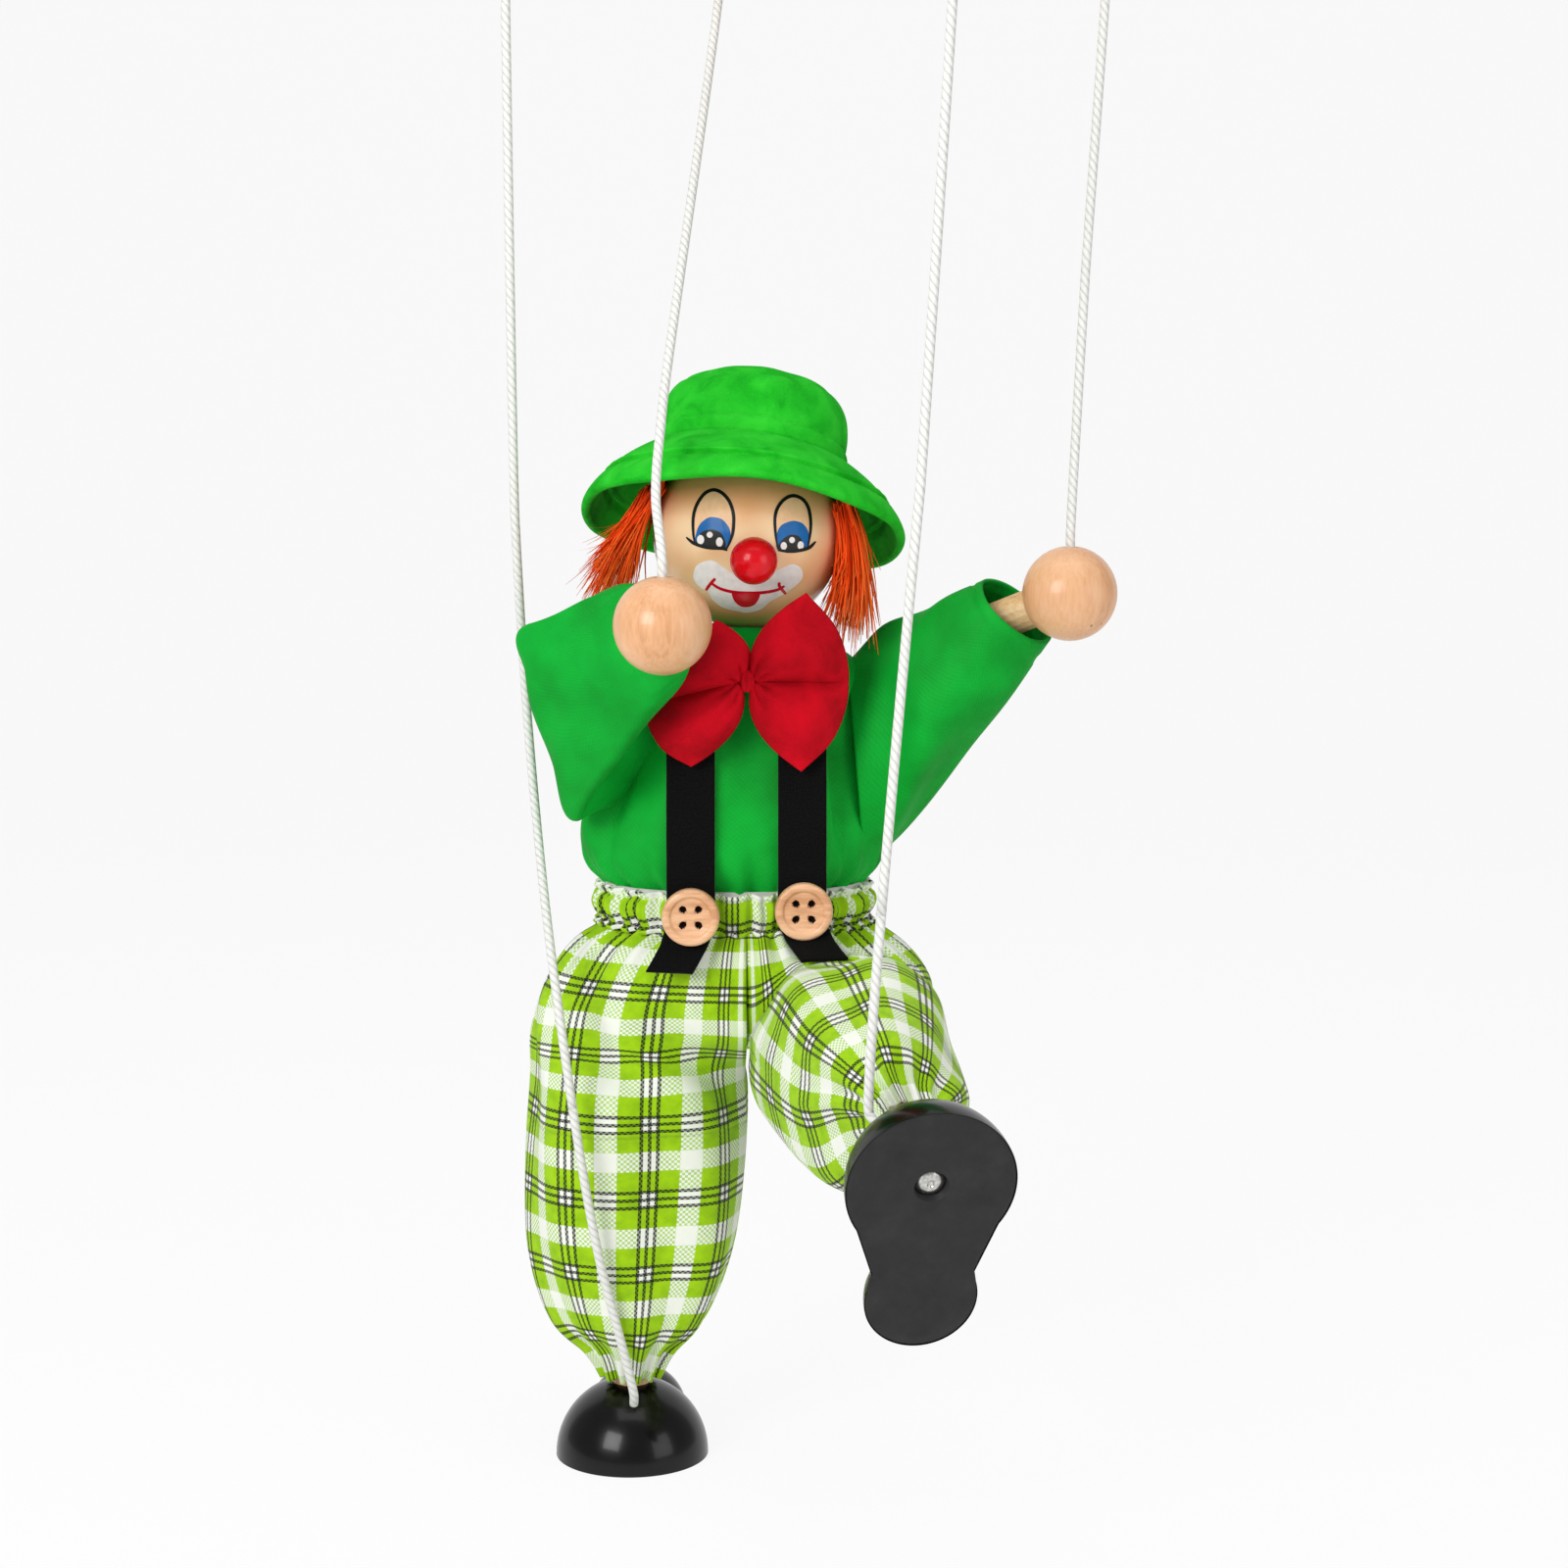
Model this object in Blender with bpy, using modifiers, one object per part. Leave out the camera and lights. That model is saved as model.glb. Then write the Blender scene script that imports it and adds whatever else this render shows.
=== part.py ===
"""Wooden clown marionette: a jointed figure in cloth, four strings and a crossed hand control.

Lengths are metres. Heights are over the floor that the standing foot touches, and the figure
faces -Y. The origin is on the grip face of the control, so a parent empty carries the offset.
"""
import math

import bpy
import bmesh
from mathutils import Matrix, Vector

MM = 0.001
GAP = 0.3 * MM
CLOTH = 0.8 * MM
GRIP = Vector((18.0, -8.0, 341.0)) * MM

STICK_WIDTH = 12.0 * MM
STICK_HEIGHT = 9.0 * MM
STICK_HOLE_RADIUS = 1.8 * MM
STICK_OVERHANG = 7.0 * MM
STRING_RADIUS = 0.95 * MM
STRING_HOLE_RADIUS = 1.6 * MM
STRING_SEAT = 2.4 * MM
KNOT_RADIUS = 2.7 * MM

HEAD_CENTRE = Vector((0.0, 0.0, 197.4)) * MM
HEAD_RADIUS = 20.0 * MM
NOSE_CENTRE = Vector((1.6, -22.0, 193.0)) * MM
NOSE_RADIUS = 4.9 * MM
NECK_CENTRE = Vector((0.0, 1.0, 174.6)) * MM
NECK_RADIUS = 4.6 * MM
HAT_TIP = math.radians(-19.0)
HAT_ROLL = math.radians(6.5)
HAT_EDGE_HEIGHT = 1.7

TORSO_SIZE = Vector((23.0, 15.0, 74.6)) * MM
TORSO_TOP = 171.6 * MM
TORSO_X = -2.0 * MM
TORSO_Y = 2.0 * MM

DOWEL_RADIUS = 4.1 * MM
HAND_RADIUS = 9.75 * MM
HAND_SOCKET = 5.0 * MM
SHOULDERS = {"left": Vector((-27.0, 3.0, 166.0)) * MM, "right": Vector((21.0, 3.0, 166.0)) * MM}
HANDS = {"left": Vector((-16.0, -52.0, 182.0)) * MM, "right": Vector((66.5, -22.0, 186.3)) * MM}
ARM_START = 6.0 * MM
ARM_WAY_RADIUS = 8.0 * MM
ARMHOLE_HEIGHT = 38.0 * MM
ARMHOLES = {
    "left": (Vector((-25.0, -14.0, 156.0)) * MM, Vector((-0.707, -0.707, 0.0)), 8.5 * MM),
    "right": (Vector((28.0, -1.0, 156.0)) * MM, Vector((1.0, 0.0, 0.0)), 11.5 * MM),
}

HIPS = {"left": Vector((-20.0, 5.0, 103.0)) * MM, "right": Vector((17.0, 5.0, 103.0)) * MM}
KNEES = {"left": Vector((-25.0, -12.0, 60.0)) * MM, "right": Vector((25.6, -39.4, 101.1)) * MM}
SOLES = {"left": Vector((-25.0, -12.0, 0.0)) * MM, "right": Vector((35.3, -95.0, 80.6)) * MM}
KNEE_AXES = {"left": Vector((1.0, 0.0, 0.0)), "right": Vector((0.9852, 0.1719, 0.0))}
PIN_RADIUS = 1.1 * MM
TONGUE_THICKNESS = 2.8 * MM
KNEE_CLEAR = 6.0 * MM

TOE_RADIUS = 16.4 * MM
HEEL_RADIUS = 11.0 * MM
HEEL_BACK = 25.6 * MM
WAIST_RADIUS = 9.7 * MM
FOOT_SOCKET = 9.0 * MM
SCREW_HEAD_RADIUS = 3.0 * MM
STRING_HOLES = {"left": Vector((0.05, -0.55, 0.83)), "right": Vector((-0.5, -0.35, 0.79))}

BUTTONS = {"left": Vector((-11.5, -26.4, 119.6)) * MM, "right": Vector((11.9, -26.4, 120.8)) * MM}
RIBBON_WIDTH = 10.0 * MM
BOW_Y = -24.5

# Shirt body from collar to tucked hem: height, centre in x, half width, half depth.
SHIRT = (
    (175.8, 0.0, 11.0, 10.5),
    (174.2, 0.0, 17.0, 13.0),
    (170.0, -0.5, 24.0, 15.5),
    (160.0, -1.0, 27.0, 17.0),
    (148.0, -2.0, 29.5, 19.0),
    (137.0, -3.5, 32.5, 21.0),
    (130.5, -3.5, 31.5, 21.0),
    (126.0, -3.0, 26.4, 17.6),
    (118.0, -3.0, 25.4, 16.6),
)
SHIRT_GATHERS = 10

for item in list(bpy.data.objects):
    bpy.data.objects.remove(item, do_unlink=True)

parts = bpy.data.collections.new("marionette")
cutters = bpy.data.collections.new("cutters")
for group in (parts, cutters):
    bpy.context.scene.collection.children.link(group)

frame = bpy.data.objects.new("floor_under_grip", None)
frame.location = -GRIP
parts.objects.link(frame)


def material(name, colour, roughness, metallic=0.0):
    made = bpy.data.materials.new(name)
    made.use_nodes = True
    shader = made.node_tree.nodes["Principled BSDF"]
    shader.inputs["Base Color"].default_value = (*colour, 1.0)
    shader.inputs["Roughness"].default_value = roughness
    shader.inputs["Metallic"].default_value = metallic
    return made


PALE_WOOD = material("pale beech", (0.80, 0.62, 0.40), 0.45)
SKIN_WOOD = material("skin lacquer on wood", (0.85, 0.62, 0.40), 0.3)
BALL_WOOD = material("lacquered beech", (0.76, 0.50, 0.28), 0.25)
BLACK_LACQUER = material("black lacquer", (0.006, 0.006, 0.006), 0.2)
RED_LACQUER = material("red lacquer", (0.72, 0.01, 0.02), 0.15)
GREEN_CLOTH = material("green cloth", (0.0, 0.40, 0.03), 0.7)
GREEN_FELT = material("green felt", (0.03, 0.60, 0.04), 0.9)
RED_FELT = material("red felt", (0.60, 0.0, 0.01), 0.9)
LIME_PLAID = material("lime plaid cotton", (0.38, 0.66, 0.01), 0.8)
BLACK_RIBBON = material("black velvet ribbon", (0.004, 0.004, 0.004), 0.9)
ORANGE_HAIR = material("orange fibre hair", (0.80, 0.06, 0.005), 0.6)
WHITE_CORD = material("white braided cord", (0.85, 0.85, 0.83), 0.8)
BUTTON_WOOD = material("button maple", (0.82, 0.60, 0.42), 0.4)
STEEL = material("plated steel", (0.6, 0.6, 0.6), 0.3, 1.0)
ELASTIC = material("white elastic", (0.8, 0.8, 0.8), 0.8)


def place(name, mesh, look, origin=Vector(), turn=None, group=parts):
    made = bpy.data.objects.new(name, mesh)
    made.parent = frame
    made.matrix_local = Matrix.Translation(origin) @ (turn or Matrix()).to_4x4()
    group.objects.link(made)
    if group is cutters:
        made.hide_render = True
        made.display_type = "WIRE"
    else:
        mesh.materials.append(look)
    return made


def mesh_from(build, name, smooth_angle=40.0):
    shape = bmesh.new()
    build(shape)
    bmesh.ops.recalc_face_normals(shape, faces=shape.faces)
    mesh = bpy.data.meshes.new(name)
    shape.to_mesh(mesh)
    shape.free()
    mesh.shade_smooth()
    mesh.set_sharp_from_angle(angle=math.radians(smooth_angle))
    return mesh


def cylinder(name, radius, bottom, top, segments=18):
    """A cylinder on the local z axis between two heights."""
    def build(shape):
        middle = Matrix.Translation((0.0, 0.0, (bottom + top) / 2.0))
        bmesh.ops.create_cone(shape, cap_ends=True, segments=segments, radius1=radius, radius2=radius,
                              depth=top - bottom, matrix=middle)
    return mesh_from(build, name)


def ball(name, radius, around=24, up=12):
    return mesh_from(lambda shape: bmesh.ops.create_uvsphere(
        shape, u_segments=around, v_segments=up, radius=radius), name)


def box(name, size, centre=Vector()):
    def build(shape):
        scale = Matrix.Translation(centre) @ Matrix.Diagonal((*size, 1.0))
        bmesh.ops.create_cube(shape, size=1.0, matrix=scale)
    return mesh_from(build, name)


def facing(direction, axis=Vector((1.0, 0.0, 0.0))):
    """A turn whose local z is the direction and whose local x is as near the axis as it can be."""
    z = direction.normalized()
    x = (axis - z * axis.dot(z)).normalized()
    return Matrix((x, z.cross(x), z)).transposed()


def cut(target, name, mesh, origin=Vector(), turn=None, operation="DIFFERENCE"):
    tool = place(name, mesh, None, origin, turn, cutters)
    step = target.modifiers.new(name, "BOOLEAN")
    step.operation = operation
    step.solver = "EXACT"
    step.object = tool


def round_edges(target, width, segments=2):
    step = target.modifiers.new("rounded edges", "BEVEL")
    step.width = width
    step.segments = segments
    step.limit_method = "ANGLE"


def thicken(target, thickness, offset=-1.0):
    step = target.modifiers.new("cloth thickness", "SOLIDIFY")
    step.thickness = thickness
    step.offset = offset
    step.use_even_offset = False


def smooth_path(points, steps):
    """Points along a curve through the route's own points, the shorter span leading at each."""
    spans = [b - a for a, b in zip(points, points[1:])]
    heads = [spans[0].normalized()]
    for before, after in zip(spans, spans[1:]):
        heads.append((before / before.length_squared + after / after.length_squared).normalized())
    heads.append(spans[-1].normalized())
    path = []
    for number, span in enumerate(spans):
        start, end = points[number:number + 2]
        nearby = min(other.length for other in spans[max(0, number - 1):number + 2])
        bend = min(span.length, 3.0 * nearby)
        out, back = (head * bend for head in heads[number:number + 2])
        for step in range(steps):
            t = step / steps
            path.append(start * (1.0 - t) ** 2 * (1.0 + 2.0 * t) + out * t * (1.0 - t) ** 2
                        + end * t ** 2 * (3.0 - 2.0 * t) - back * t ** 2 * (1.0 - t))
    return path + [points[-1]]


def tube(name, points, radius, look, steps=3):
    curve = bpy.data.curves.new(name, "CURVE")
    curve.dimensions = "3D"
    curve.bevel_depth = radius
    curve.bevel_resolution = 2
    curve.use_fill_caps = True
    path = smooth_path(points, steps)
    line = curve.splines.new("POLY")
    line.points.add(len(path) - 1)
    for knot, point in zip(line.points, path):
        knot.co = (*point, 1.0)
    return place(name, curve, look)


def loft(name, rows, look, closed=True, thickness=CLOTH):
    """A cloth shell through rows of points; welding joins a row whose ends meet."""
    def build(shape):
        grid = [[shape.verts.new(point) for point in row] for row in rows]
        last = len(rows[0]) if closed else len(rows[0]) - 1
        for upper, lower in zip(grid, grid[1:]):
            for i in range(last):
                j = (i + 1) % len(upper)
                shape.faces.new((upper[i], lower[i], lower[j], upper[j]))
        bmesh.ops.remove_doubles(shape, verts=shape.verts, dist=1e-6)
    made = place(name, mesh_from(build, name, 60.0), look)
    thicken(made, thickness)
    return made


def oval(centre, across, along, count, waves=0, depth=0.0, square=1.0):
    """A ring of points: an ellipse, squarer as square falls below one, with waves for gathers."""
    ring = []
    for i in range(count):
        angle = 2.0 * math.pi * i / count
        c, s = math.cos(angle), math.sin(angle)
        c = math.copysign(abs(c) ** square, c)
        s = math.copysign(abs(s) ** square, s)
        swell = 1.0 + depth * math.cos(waves * angle)
        ring.append(centre + (across * c + along * s) * swell)
    return ring


def sleeve_ring(top, bottom, half_depth, axis, count=14, fold=0.0):
    top, bottom = Vector(top) * MM, Vector(bottom) * MM
    rise = (top - bottom) / 2.0
    side = Vector(axis).cross(rise).normalized() * half_depth * MM
    return oval((top + bottom) / 2.0, side, rise, count, 5, fold, 0.85)


def add_control():
    corners = {
        "left_foot": Vector((-49.3, -8.0, 0.0)) * MM,
        "right_hand": Vector((74.6, -8.0, 0.0)) * MM,
        "left_hand": Vector((-5.0, 42.0, 0.0)) * MM,
        "right_foot": Vector((41.0, -58.0, 0.0)) * MM,
    }
    top = GRIP.z
    middle = top - STICK_HEIGHT / 2.0
    crossing = Vector((GRIP.x, GRIP.y, 0.0))
    for name, first, second, lap in (("control_stick_across", "left_foot", "right_hand", -1.0),
                                     ("control_stick_fore", "left_hand", "right_foot", 1.0)):
        start, end = corners[first], corners[second]
        along = (end - start).normalized()
        turn = facing(Vector((0.0, 0.0, 1.0)), along)
        origin = crossing + Vector((0.0, 0.0, middle))
        near = (start - crossing).dot(along) - STICK_OVERHANG
        far = (end - crossing).dot(along) + STICK_OVERHANG
        size = Vector((far - near, STICK_WIDTH, STICK_HEIGHT))
        stick = place(name, box(name, size, Vector(((near + far) / 2.0, 0.0, 0.0))), PALE_WOOD, origin, turn)
        round_edges(stick, 1.2 * MM)
        notch = Vector((STICK_WIDTH + 2.0 * GAP, 2.0 * STICK_WIDTH, STICK_HEIGHT))
        other = corners["left_hand"] - corners["right_foot"] if lap < 0.0 else Vector((1.0, 0.0, 0.0))
        level = middle + lap * (STICK_HEIGHT / 2.0 - GAP / 2.0)
        cut(stick, name + "_lap", box(name + "_lap", notch), crossing + Vector((0.0, 0.0, level)),
            facing(Vector((0.0, 0.0, 1.0)), Vector((-other.y, other.x, 0.0))))
        for corner in (first, second):
            hole = cylinder("hole", STICK_HOLE_RADIUS, -STICK_HEIGHT, STICK_HEIGHT, 16)
            cut(stick, "string_hole_" + corner, hole, corners[corner] + Vector((0.0, 0.0, middle)))
        pilot = cylinder("pilot", 1.6 * MM, -STICK_HEIGHT, 2.0 * MM, 16)
        cut(stick, name + "_screw_hole", pilot, crossing + Vector((0.0, 0.0, middle)))
    screw = place("control_screw", cylinder("control_screw", 3.0 * MM, -2.0 * MM, 0.0), STEEL,
                  crossing + Vector((0.0, 0.0, top - STICK_HEIGHT - GAP)))
    cut(screw, "control_screw_shank", cylinder("shank", 1.3 * MM, -1.0 * MM, 6.0 * MM, 16),
        crossing + Vector((0.0, 0.0, top - STICK_HEIGHT - GAP)), None, "UNION")
    for name, corner in corners.items():
        seat = corner + Vector((0.0, 0.0, top + GAP + KNOT_RADIUS * 0.8))
        knot = place("knot_" + name, ball("knot_" + name, KNOT_RADIUS, 12, 6), WHITE_CORD, seat)
        knot.scale.z = 0.8
    return {name: corner + Vector((0.0, 0.0, top)) for name, corner in corners.items()}


def add_strings(tops):
    below = Vector((0.0, 0.0, -STICK_HEIGHT - 2.5 * MM))
    lower = {}
    for side in ("left", "right"):
        for name, centre, radius, way in (("foot", SOLES[side], TOE_RADIUS, toe_hole(side)),
                                          ("hand", HANDS[side], HAND_RADIUS, Vector((0.0, 0.0, 1.0)))):
            lower[side + "_" + name] = [centre + way * (radius + out)
                                        for out in (2.5 * MM, -0.5 * MM, -STRING_SEAT)]
    bends = {
        "left_foot": ((-48.8, -4.0, 200.0), (-46.5, 1.0, 150.0), (-39.0, -26.0, 100.0), (-30.5, -28.5, 46.0)),
        "left_hand": ((-17.5, -32.0, 224.0), (-18.8, -44.0, 206.0)),
        "right_foot": ((33.5, -72.0, 210.0),),
        "right_hand": ((69.5, -15.0, 250.0),),
    }
    for name, places in bends.items():
        top = tops[name] + Vector((0.0, 0.0, -GAP))
        route = [top, top + below, *(Vector(at) * MM for at in places), *lower[name]]
        tube("string_" + name, route, STRING_RADIUS, WHITE_CORD)


def toe_hole(side):
    """World direction of the string hole from the middle of the sole's toe circle."""
    turn = facing(KNEES[side] - SOLES[side], KNEE_AXES[side])
    return (turn @ STRING_HOLES[side]).normalized()


def add_head():
    head = place("head_ball", ball("head_ball", HEAD_RADIUS, 28, 14), SKIN_WOOD, HEAD_CENTRE)
    cut(head, "neck_dish", ball("neck_dish", NECK_RADIUS + GAP, 16, 8), NECK_CENTRE)
    nose = place("nose", ball("nose", NOSE_RADIUS, 18, 10), RED_LACQUER, NOSE_CENTRE)
    cut(nose, "nose_seat", ball("nose_seat", HEAD_RADIUS + GAP, 32, 16), HEAD_CENTRE)
    place("neck_bead", ball("neck_bead", NECK_RADIUS, 16, 8), PALE_WOOD, NECK_CENTRE)
    add_hat()
    add_hair()


def add_hat():
    tilt = Matrix.Rotation(HAT_TIP, 4, "X") @ Matrix.Rotation(HAT_ROLL, 4, "Y")

    def on_hat(x, y, height):
        return HEAD_CENTRE + (tilt @ (Vector((x, y, height + HAT_EDGE_HEIGHT)) * MM).to_4d()).to_3d()

    def ring(radius, height):
        angles = [2.0 * math.pi * i / 30 for i in range(30)]
        return [on_hat(radius * math.cos(angle), radius * math.sin(angle), height) for angle in angles]

    crown = [ring(19.9, 6.2), ring(20.1, 17.0), ring(19.6, 23.0), ring(17.6, 27.6), ring(13.5, 30.9),
             ring(8.0, 32.6), ring(2.0, 33.2)]
    made = loft("hat_crown", crown, GREEN_FELT, True, 1.2 * MM)
    top = place("hat_top_plug", cylinder("hat_top_plug", 2.6 * MM, -1.6 * MM, 0.0), None,
                on_hat(0.0, 0.0, 33.2), tilt.to_3x3(), cutters)
    step = made.modifiers.new("closed top", "BOOLEAN")
    step.operation = "UNION"
    step.object = top

    brim = [ring(21.3, 13.4), ring(25.0, 10.9), ring(28.8, 7.6), ring(32.2, 3.9), ring(34.0, 0.2)]
    loft("hat_brim", brim, GREEN_FELT, True, 1.6 * MM)


def add_hair():
    routes = {
        "hair_left": ((-19.5, -6.0, 207.0, 5.0, 9.0), (-25.0, -7.0, 197.0, 3.2, 8.0),
                      (-28.0, -8.2, 192.0, 2.4, 6.0), (-29.3, -8.8, 189.0, 0.8, 3.0)),
        "hair_right": ((20.0, -5.0, 197.0, 3.2, 7.5), (23.0, -6.5, 191.5, 2.6, 7.0),
                       (24.0, -7.5, 187.5, 2.0, 5.0), (24.5, -8.0, 184.5, 0.8, 2.5)),
    }
    for name, sections in routes.items():
        def build(shape, sections=sections):
            rings = []
            for x, y, z, half_x, half_y in sections:
                ring = oval(Vector((x, y, z)) * MM, Vector((half_x, 0.0, 0.0)) * MM,
                            Vector((0.0, half_y, 0.0)) * MM, 20, 6, 0.08)
                rings.append([shape.verts.new(point) for point in ring])
            for upper, lower in zip(rings, rings[1:]):
                for i in range(20):
                    j = (i + 1) % 20
                    shape.faces.new((upper[i], lower[i], lower[j], upper[j]))
            shape.faces.new(rings[0])
            shape.faces.new(rings[-1])
        tuft = place(name, mesh_from(build, name), ORANGE_HAIR)
        cut(tuft, name + "_head", ball(name + "_head", HEAD_RADIUS + 2.0 * GAP, 32, 16), HEAD_CENTRE)


def add_torso():
    middle = Vector((TORSO_X, TORSO_Y, TORSO_TOP - TORSO_SIZE.z / 2.0))
    torso = place("torso_block", box("torso_block", TORSO_SIZE), PALE_WOOD, middle)
    round_edges(torso, 2.5 * MM)
    sideways = facing(Vector((1.0, 0.0, 0.0)), Vector((0.0, 1.0, 0.0)))
    cut(torso, "torso_neck_dish", ball("torso_neck_dish", NECK_RADIUS + GAP, 16, 8), NECK_CENTRE)
    shoulder = Vector((0.0, SHOULDERS["left"].y, SHOULDERS["left"].z))
    cut(torso, "shoulder_bore", cylinder("shoulder_bore", 1.6 * MM, -20.0 * MM, 20.0 * MM, 16),
        shoulder, sideways)
    hip = Vector((0.0, HIPS["left"].y, HIPS["left"].z))
    cut(torso, "hip_bore", cylinder("hip_bore", PIN_RADIUS + GAP, -20.0 * MM, 20.0 * MM, 16), hip, sideways)
    outer = 6.0 * MM
    pin = cylinder("hip_pin", PIN_RADIUS, HIPS["left"].x - outer, HIPS["right"].x + outer, 16)
    place("hip_pin", pin, STEEL, hip, sideways)


def add_arms():
    for side, shoulder in SHOULDERS.items():
        reach = HANDS[side] - shoulder
        length = reach.length
        turn = facing(reach)
        socket = length - HAND_SOCKET
        arm = place("arm_dowel_" + side, cylinder("arm_dowel", DOWEL_RADIUS, ARM_START, socket), PALE_WOOD,
                    shoulder, turn)
        round_edges(arm, 0.6 * MM, 1)
        cut(arm, "arm_bore_" + side, cylinder("arm_bore", 1.9 * MM, 0.0, ARM_START + 6.0 * MM, 16),
            shoulder, turn)
        hand = place("hand_ball_" + side, ball("hand_ball", HAND_RADIUS, 20, 10), BALL_WOOD, HANDS[side])
        cut(hand, "hand_socket_" + side, cylinder("hand_socket", DOWEL_RADIUS + GAP, 0.0, socket + GAP),
            shoulder, turn)
        cut(hand, "hand_string_hole_" + side, cylinder("hand_hole", STRING_HOLE_RADIUS,
            HAND_RADIUS - STRING_SEAT - GAP, 2.0 * HAND_RADIUS, 12), HANDS[side])
    points = []
    for side, order in (("left", (11.0, 6.5, 1.5)), ("right", (1.5, 6.5, 11.0))):
        along = (HANDS[side] - SHOULDERS[side]).normalized()
        inner = Vector((math.copysign(10.0 * MM, SHOULDERS[side].x), SHOULDERS[side].y, SHOULDERS[side].z))
        spread = [SHOULDERS[side] + along * (mm * MM) for mm in order]
        points += spread + [inner] if side == "left" else [inner] + spread
    tube("shoulder_cord", points, 0.8 * MM, WHITE_CORD)


def add_legs():
    sideways = facing(Vector((1.0, 0.0, 0.0)), Vector((0.0, 1.0, 0.0)))
    for side in ("left", "right"):
        hip, knee, sole, axis = HIPS[side], KNEES[side], SOLES[side], KNEE_AXES[side]
        thigh_turn = facing(hip - knee, axis)
        reach = (hip - knee).length
        thigh = place("thigh_dowel_" + side, cylinder("thigh", DOWEL_RADIUS, -reach - DOWEL_RADIUS,
                      DOWEL_RADIUS), PALE_WOOD, hip, thigh_turn)
        round_edges(thigh, 1.4 * MM)
        cut(thigh, "hip_hole_" + side, cylinder("hip_hole", PIN_RADIUS + GAP, -12.0 * MM, 12.0 * MM, 16),
            hip, sideways)
        upright = hip - knee
        upright -= axis * axis.dot(upright)
        pin_turn = facing(axis, Vector((0.0, 0.0, 1.0)))
        fork = Vector((TONGUE_THICKNESS + 2.0 * GAP, 4.0 * KNEE_CLEAR, 2.0 * KNEE_CLEAR))
        cut(thigh, "knee_slot_" + side, box("knee_slot", fork), knee, facing(upright, axis))
        pin_hole = cylinder("pin_hole", PIN_RADIUS + GAP, -8.0 * MM, 8.0 * MM, 16)
        cut(thigh, "knee_hole_" + side, pin_hole, knee, pin_turn)
        add_shank(side, knee, sole, axis, pin_turn)
        pin = cylinder("knee_pin", PIN_RADIUS, -DOWEL_RADIUS + 0.2 * MM, DOWEL_RADIUS - 0.2 * MM, 16)
        place("knee_pin_" + side, pin, STEEL, knee, pin_turn)


def add_shank(side, knee, sole, axis, pin_turn):
    """The lower dowel has a tongue for the fork above it and a bore for the sole screw."""
    turn = facing(knee - sole, axis)
    height = (knee - sole).length
    shank = place("shank_dowel_" + side, cylinder("shank", DOWEL_RADIUS, FOOT_SOCKET + GAP - height,
                  -KNEE_CLEAR), PALE_WOOD, knee, turn)
    tongue = Vector((TONGUE_THICKNESS, 6.6 * MM, KNEE_CLEAR + 5.0 * MM))
    middle = Vector((0.0, 0.0, 3.3 * MM - tongue.z / 2.0))
    cut(shank, "tongue_" + side, box("tongue", tongue, middle), knee, turn, "UNION")
    cut(shank, "tongue_hole_" + side, cylinder("tongue_hole", PIN_RADIUS + GAP, -8.0 * MM, 8.0 * MM, 16),
        knee, pin_turn)
    cut(shank, "screw_bore_" + side, cylinder("screw_bore", 1.5 * MM, 0.0, 16.0 * MM, 16), sole, turn)
    add_foot(side, sole, turn)


def add_foot(side, sole, turn):
    """Toe and heel are half balls joined by a tapering waist, flat on the sole."""
    foot = place("foot_" + side, ball("foot", TOE_RADIUS, 28, 14), BLACK_LACQUER, sole, turn)
    back = turn @ Vector((0.0, HEEL_BACK, 0.0))
    cut(foot, "foot_heel_" + side, ball("foot_heel", HEEL_RADIUS, 20, 10), sole + back, turn, "UNION")

    def taper(shape):
        lie = Matrix.Translation((0.0, 14.0 * MM, 0.0)) @ Matrix.Rotation(-math.pi / 2.0, 4, "X")
        bmesh.ops.create_cone(shape, cap_ends=True, segments=24, radius1=14.2 * MM, radius2=WAIST_RADIUS,
                              depth=13.0 * MM, matrix=lie)
    cut(foot, "foot_waist_" + side, mesh_from(taper, "foot_waist"), sole, turn, "UNION")
    under = box("under_sole", Vector((60.0, 120.0, 40.0)) * MM, Vector((0.0, 0.0, -20.0)) * MM)
    cut(foot, "under_sole_" + side, under, sole, turn)
    socket = cylinder("leg_socket", DOWEL_RADIUS + GAP, FOOT_SOCKET, 40.0 * MM)
    cut(foot, "leg_socket_" + side, socket, sole, turn)
    cut(foot, "screw_way_" + side, cylinder("screw_way", 1.7 * MM, -5.0 * MM, 12.0 * MM, 16), sole, turn)
    cut(foot, "screw_recess_" + side, cylinder("screw_recess", SCREW_HEAD_RADIUS + GAP, -5.0 * MM, 3.0 * MM),
        sole, turn)
    hole = cylinder("toe_hole", STRING_HOLE_RADIUS, TOE_RADIUS - STRING_SEAT - GAP, 30.0 * MM, 12)
    cut(foot, "toe_hole_" + side, hole, sole, facing(toe_hole(side)))
    head = cylinder("sole_screw", SCREW_HEAD_RADIUS, 1.0 * MM, 2.7 * MM)
    screw = place("sole_screw_" + side, head, STEEL, sole, turn)
    round_edges(screw, 0.6 * MM)
    shank = cylinder("sole_shank", 1.2 * MM, 2.0 * MM, 15.0 * MM, 16)
    cut(screw, "sole_screw_shank_" + side, shank, sole, turn, "UNION")


def shirt_size(height):
    """Centre in x, half width and half depth of the shirt at a height, all in millimetres."""
    for upper, lower in zip(SHIRT, SHIRT[1:]):
        if upper[0] >= height >= lower[0]:
            t = (upper[0] - height) / (upper[0] - lower[0])
            return [a + (b - a) * t for a, b in zip(upper[1:], lower[1:])]
    return SHIRT[-1][1:]


def shirt_front(x, height):
    """Y of the shirt's front at a place, in millimetres."""
    centre, half_width, half_depth = shirt_size(height)
    return -half_depth * math.sqrt(max(0.0, 1.0 - ((x - centre) / half_width) ** 2))


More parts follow.
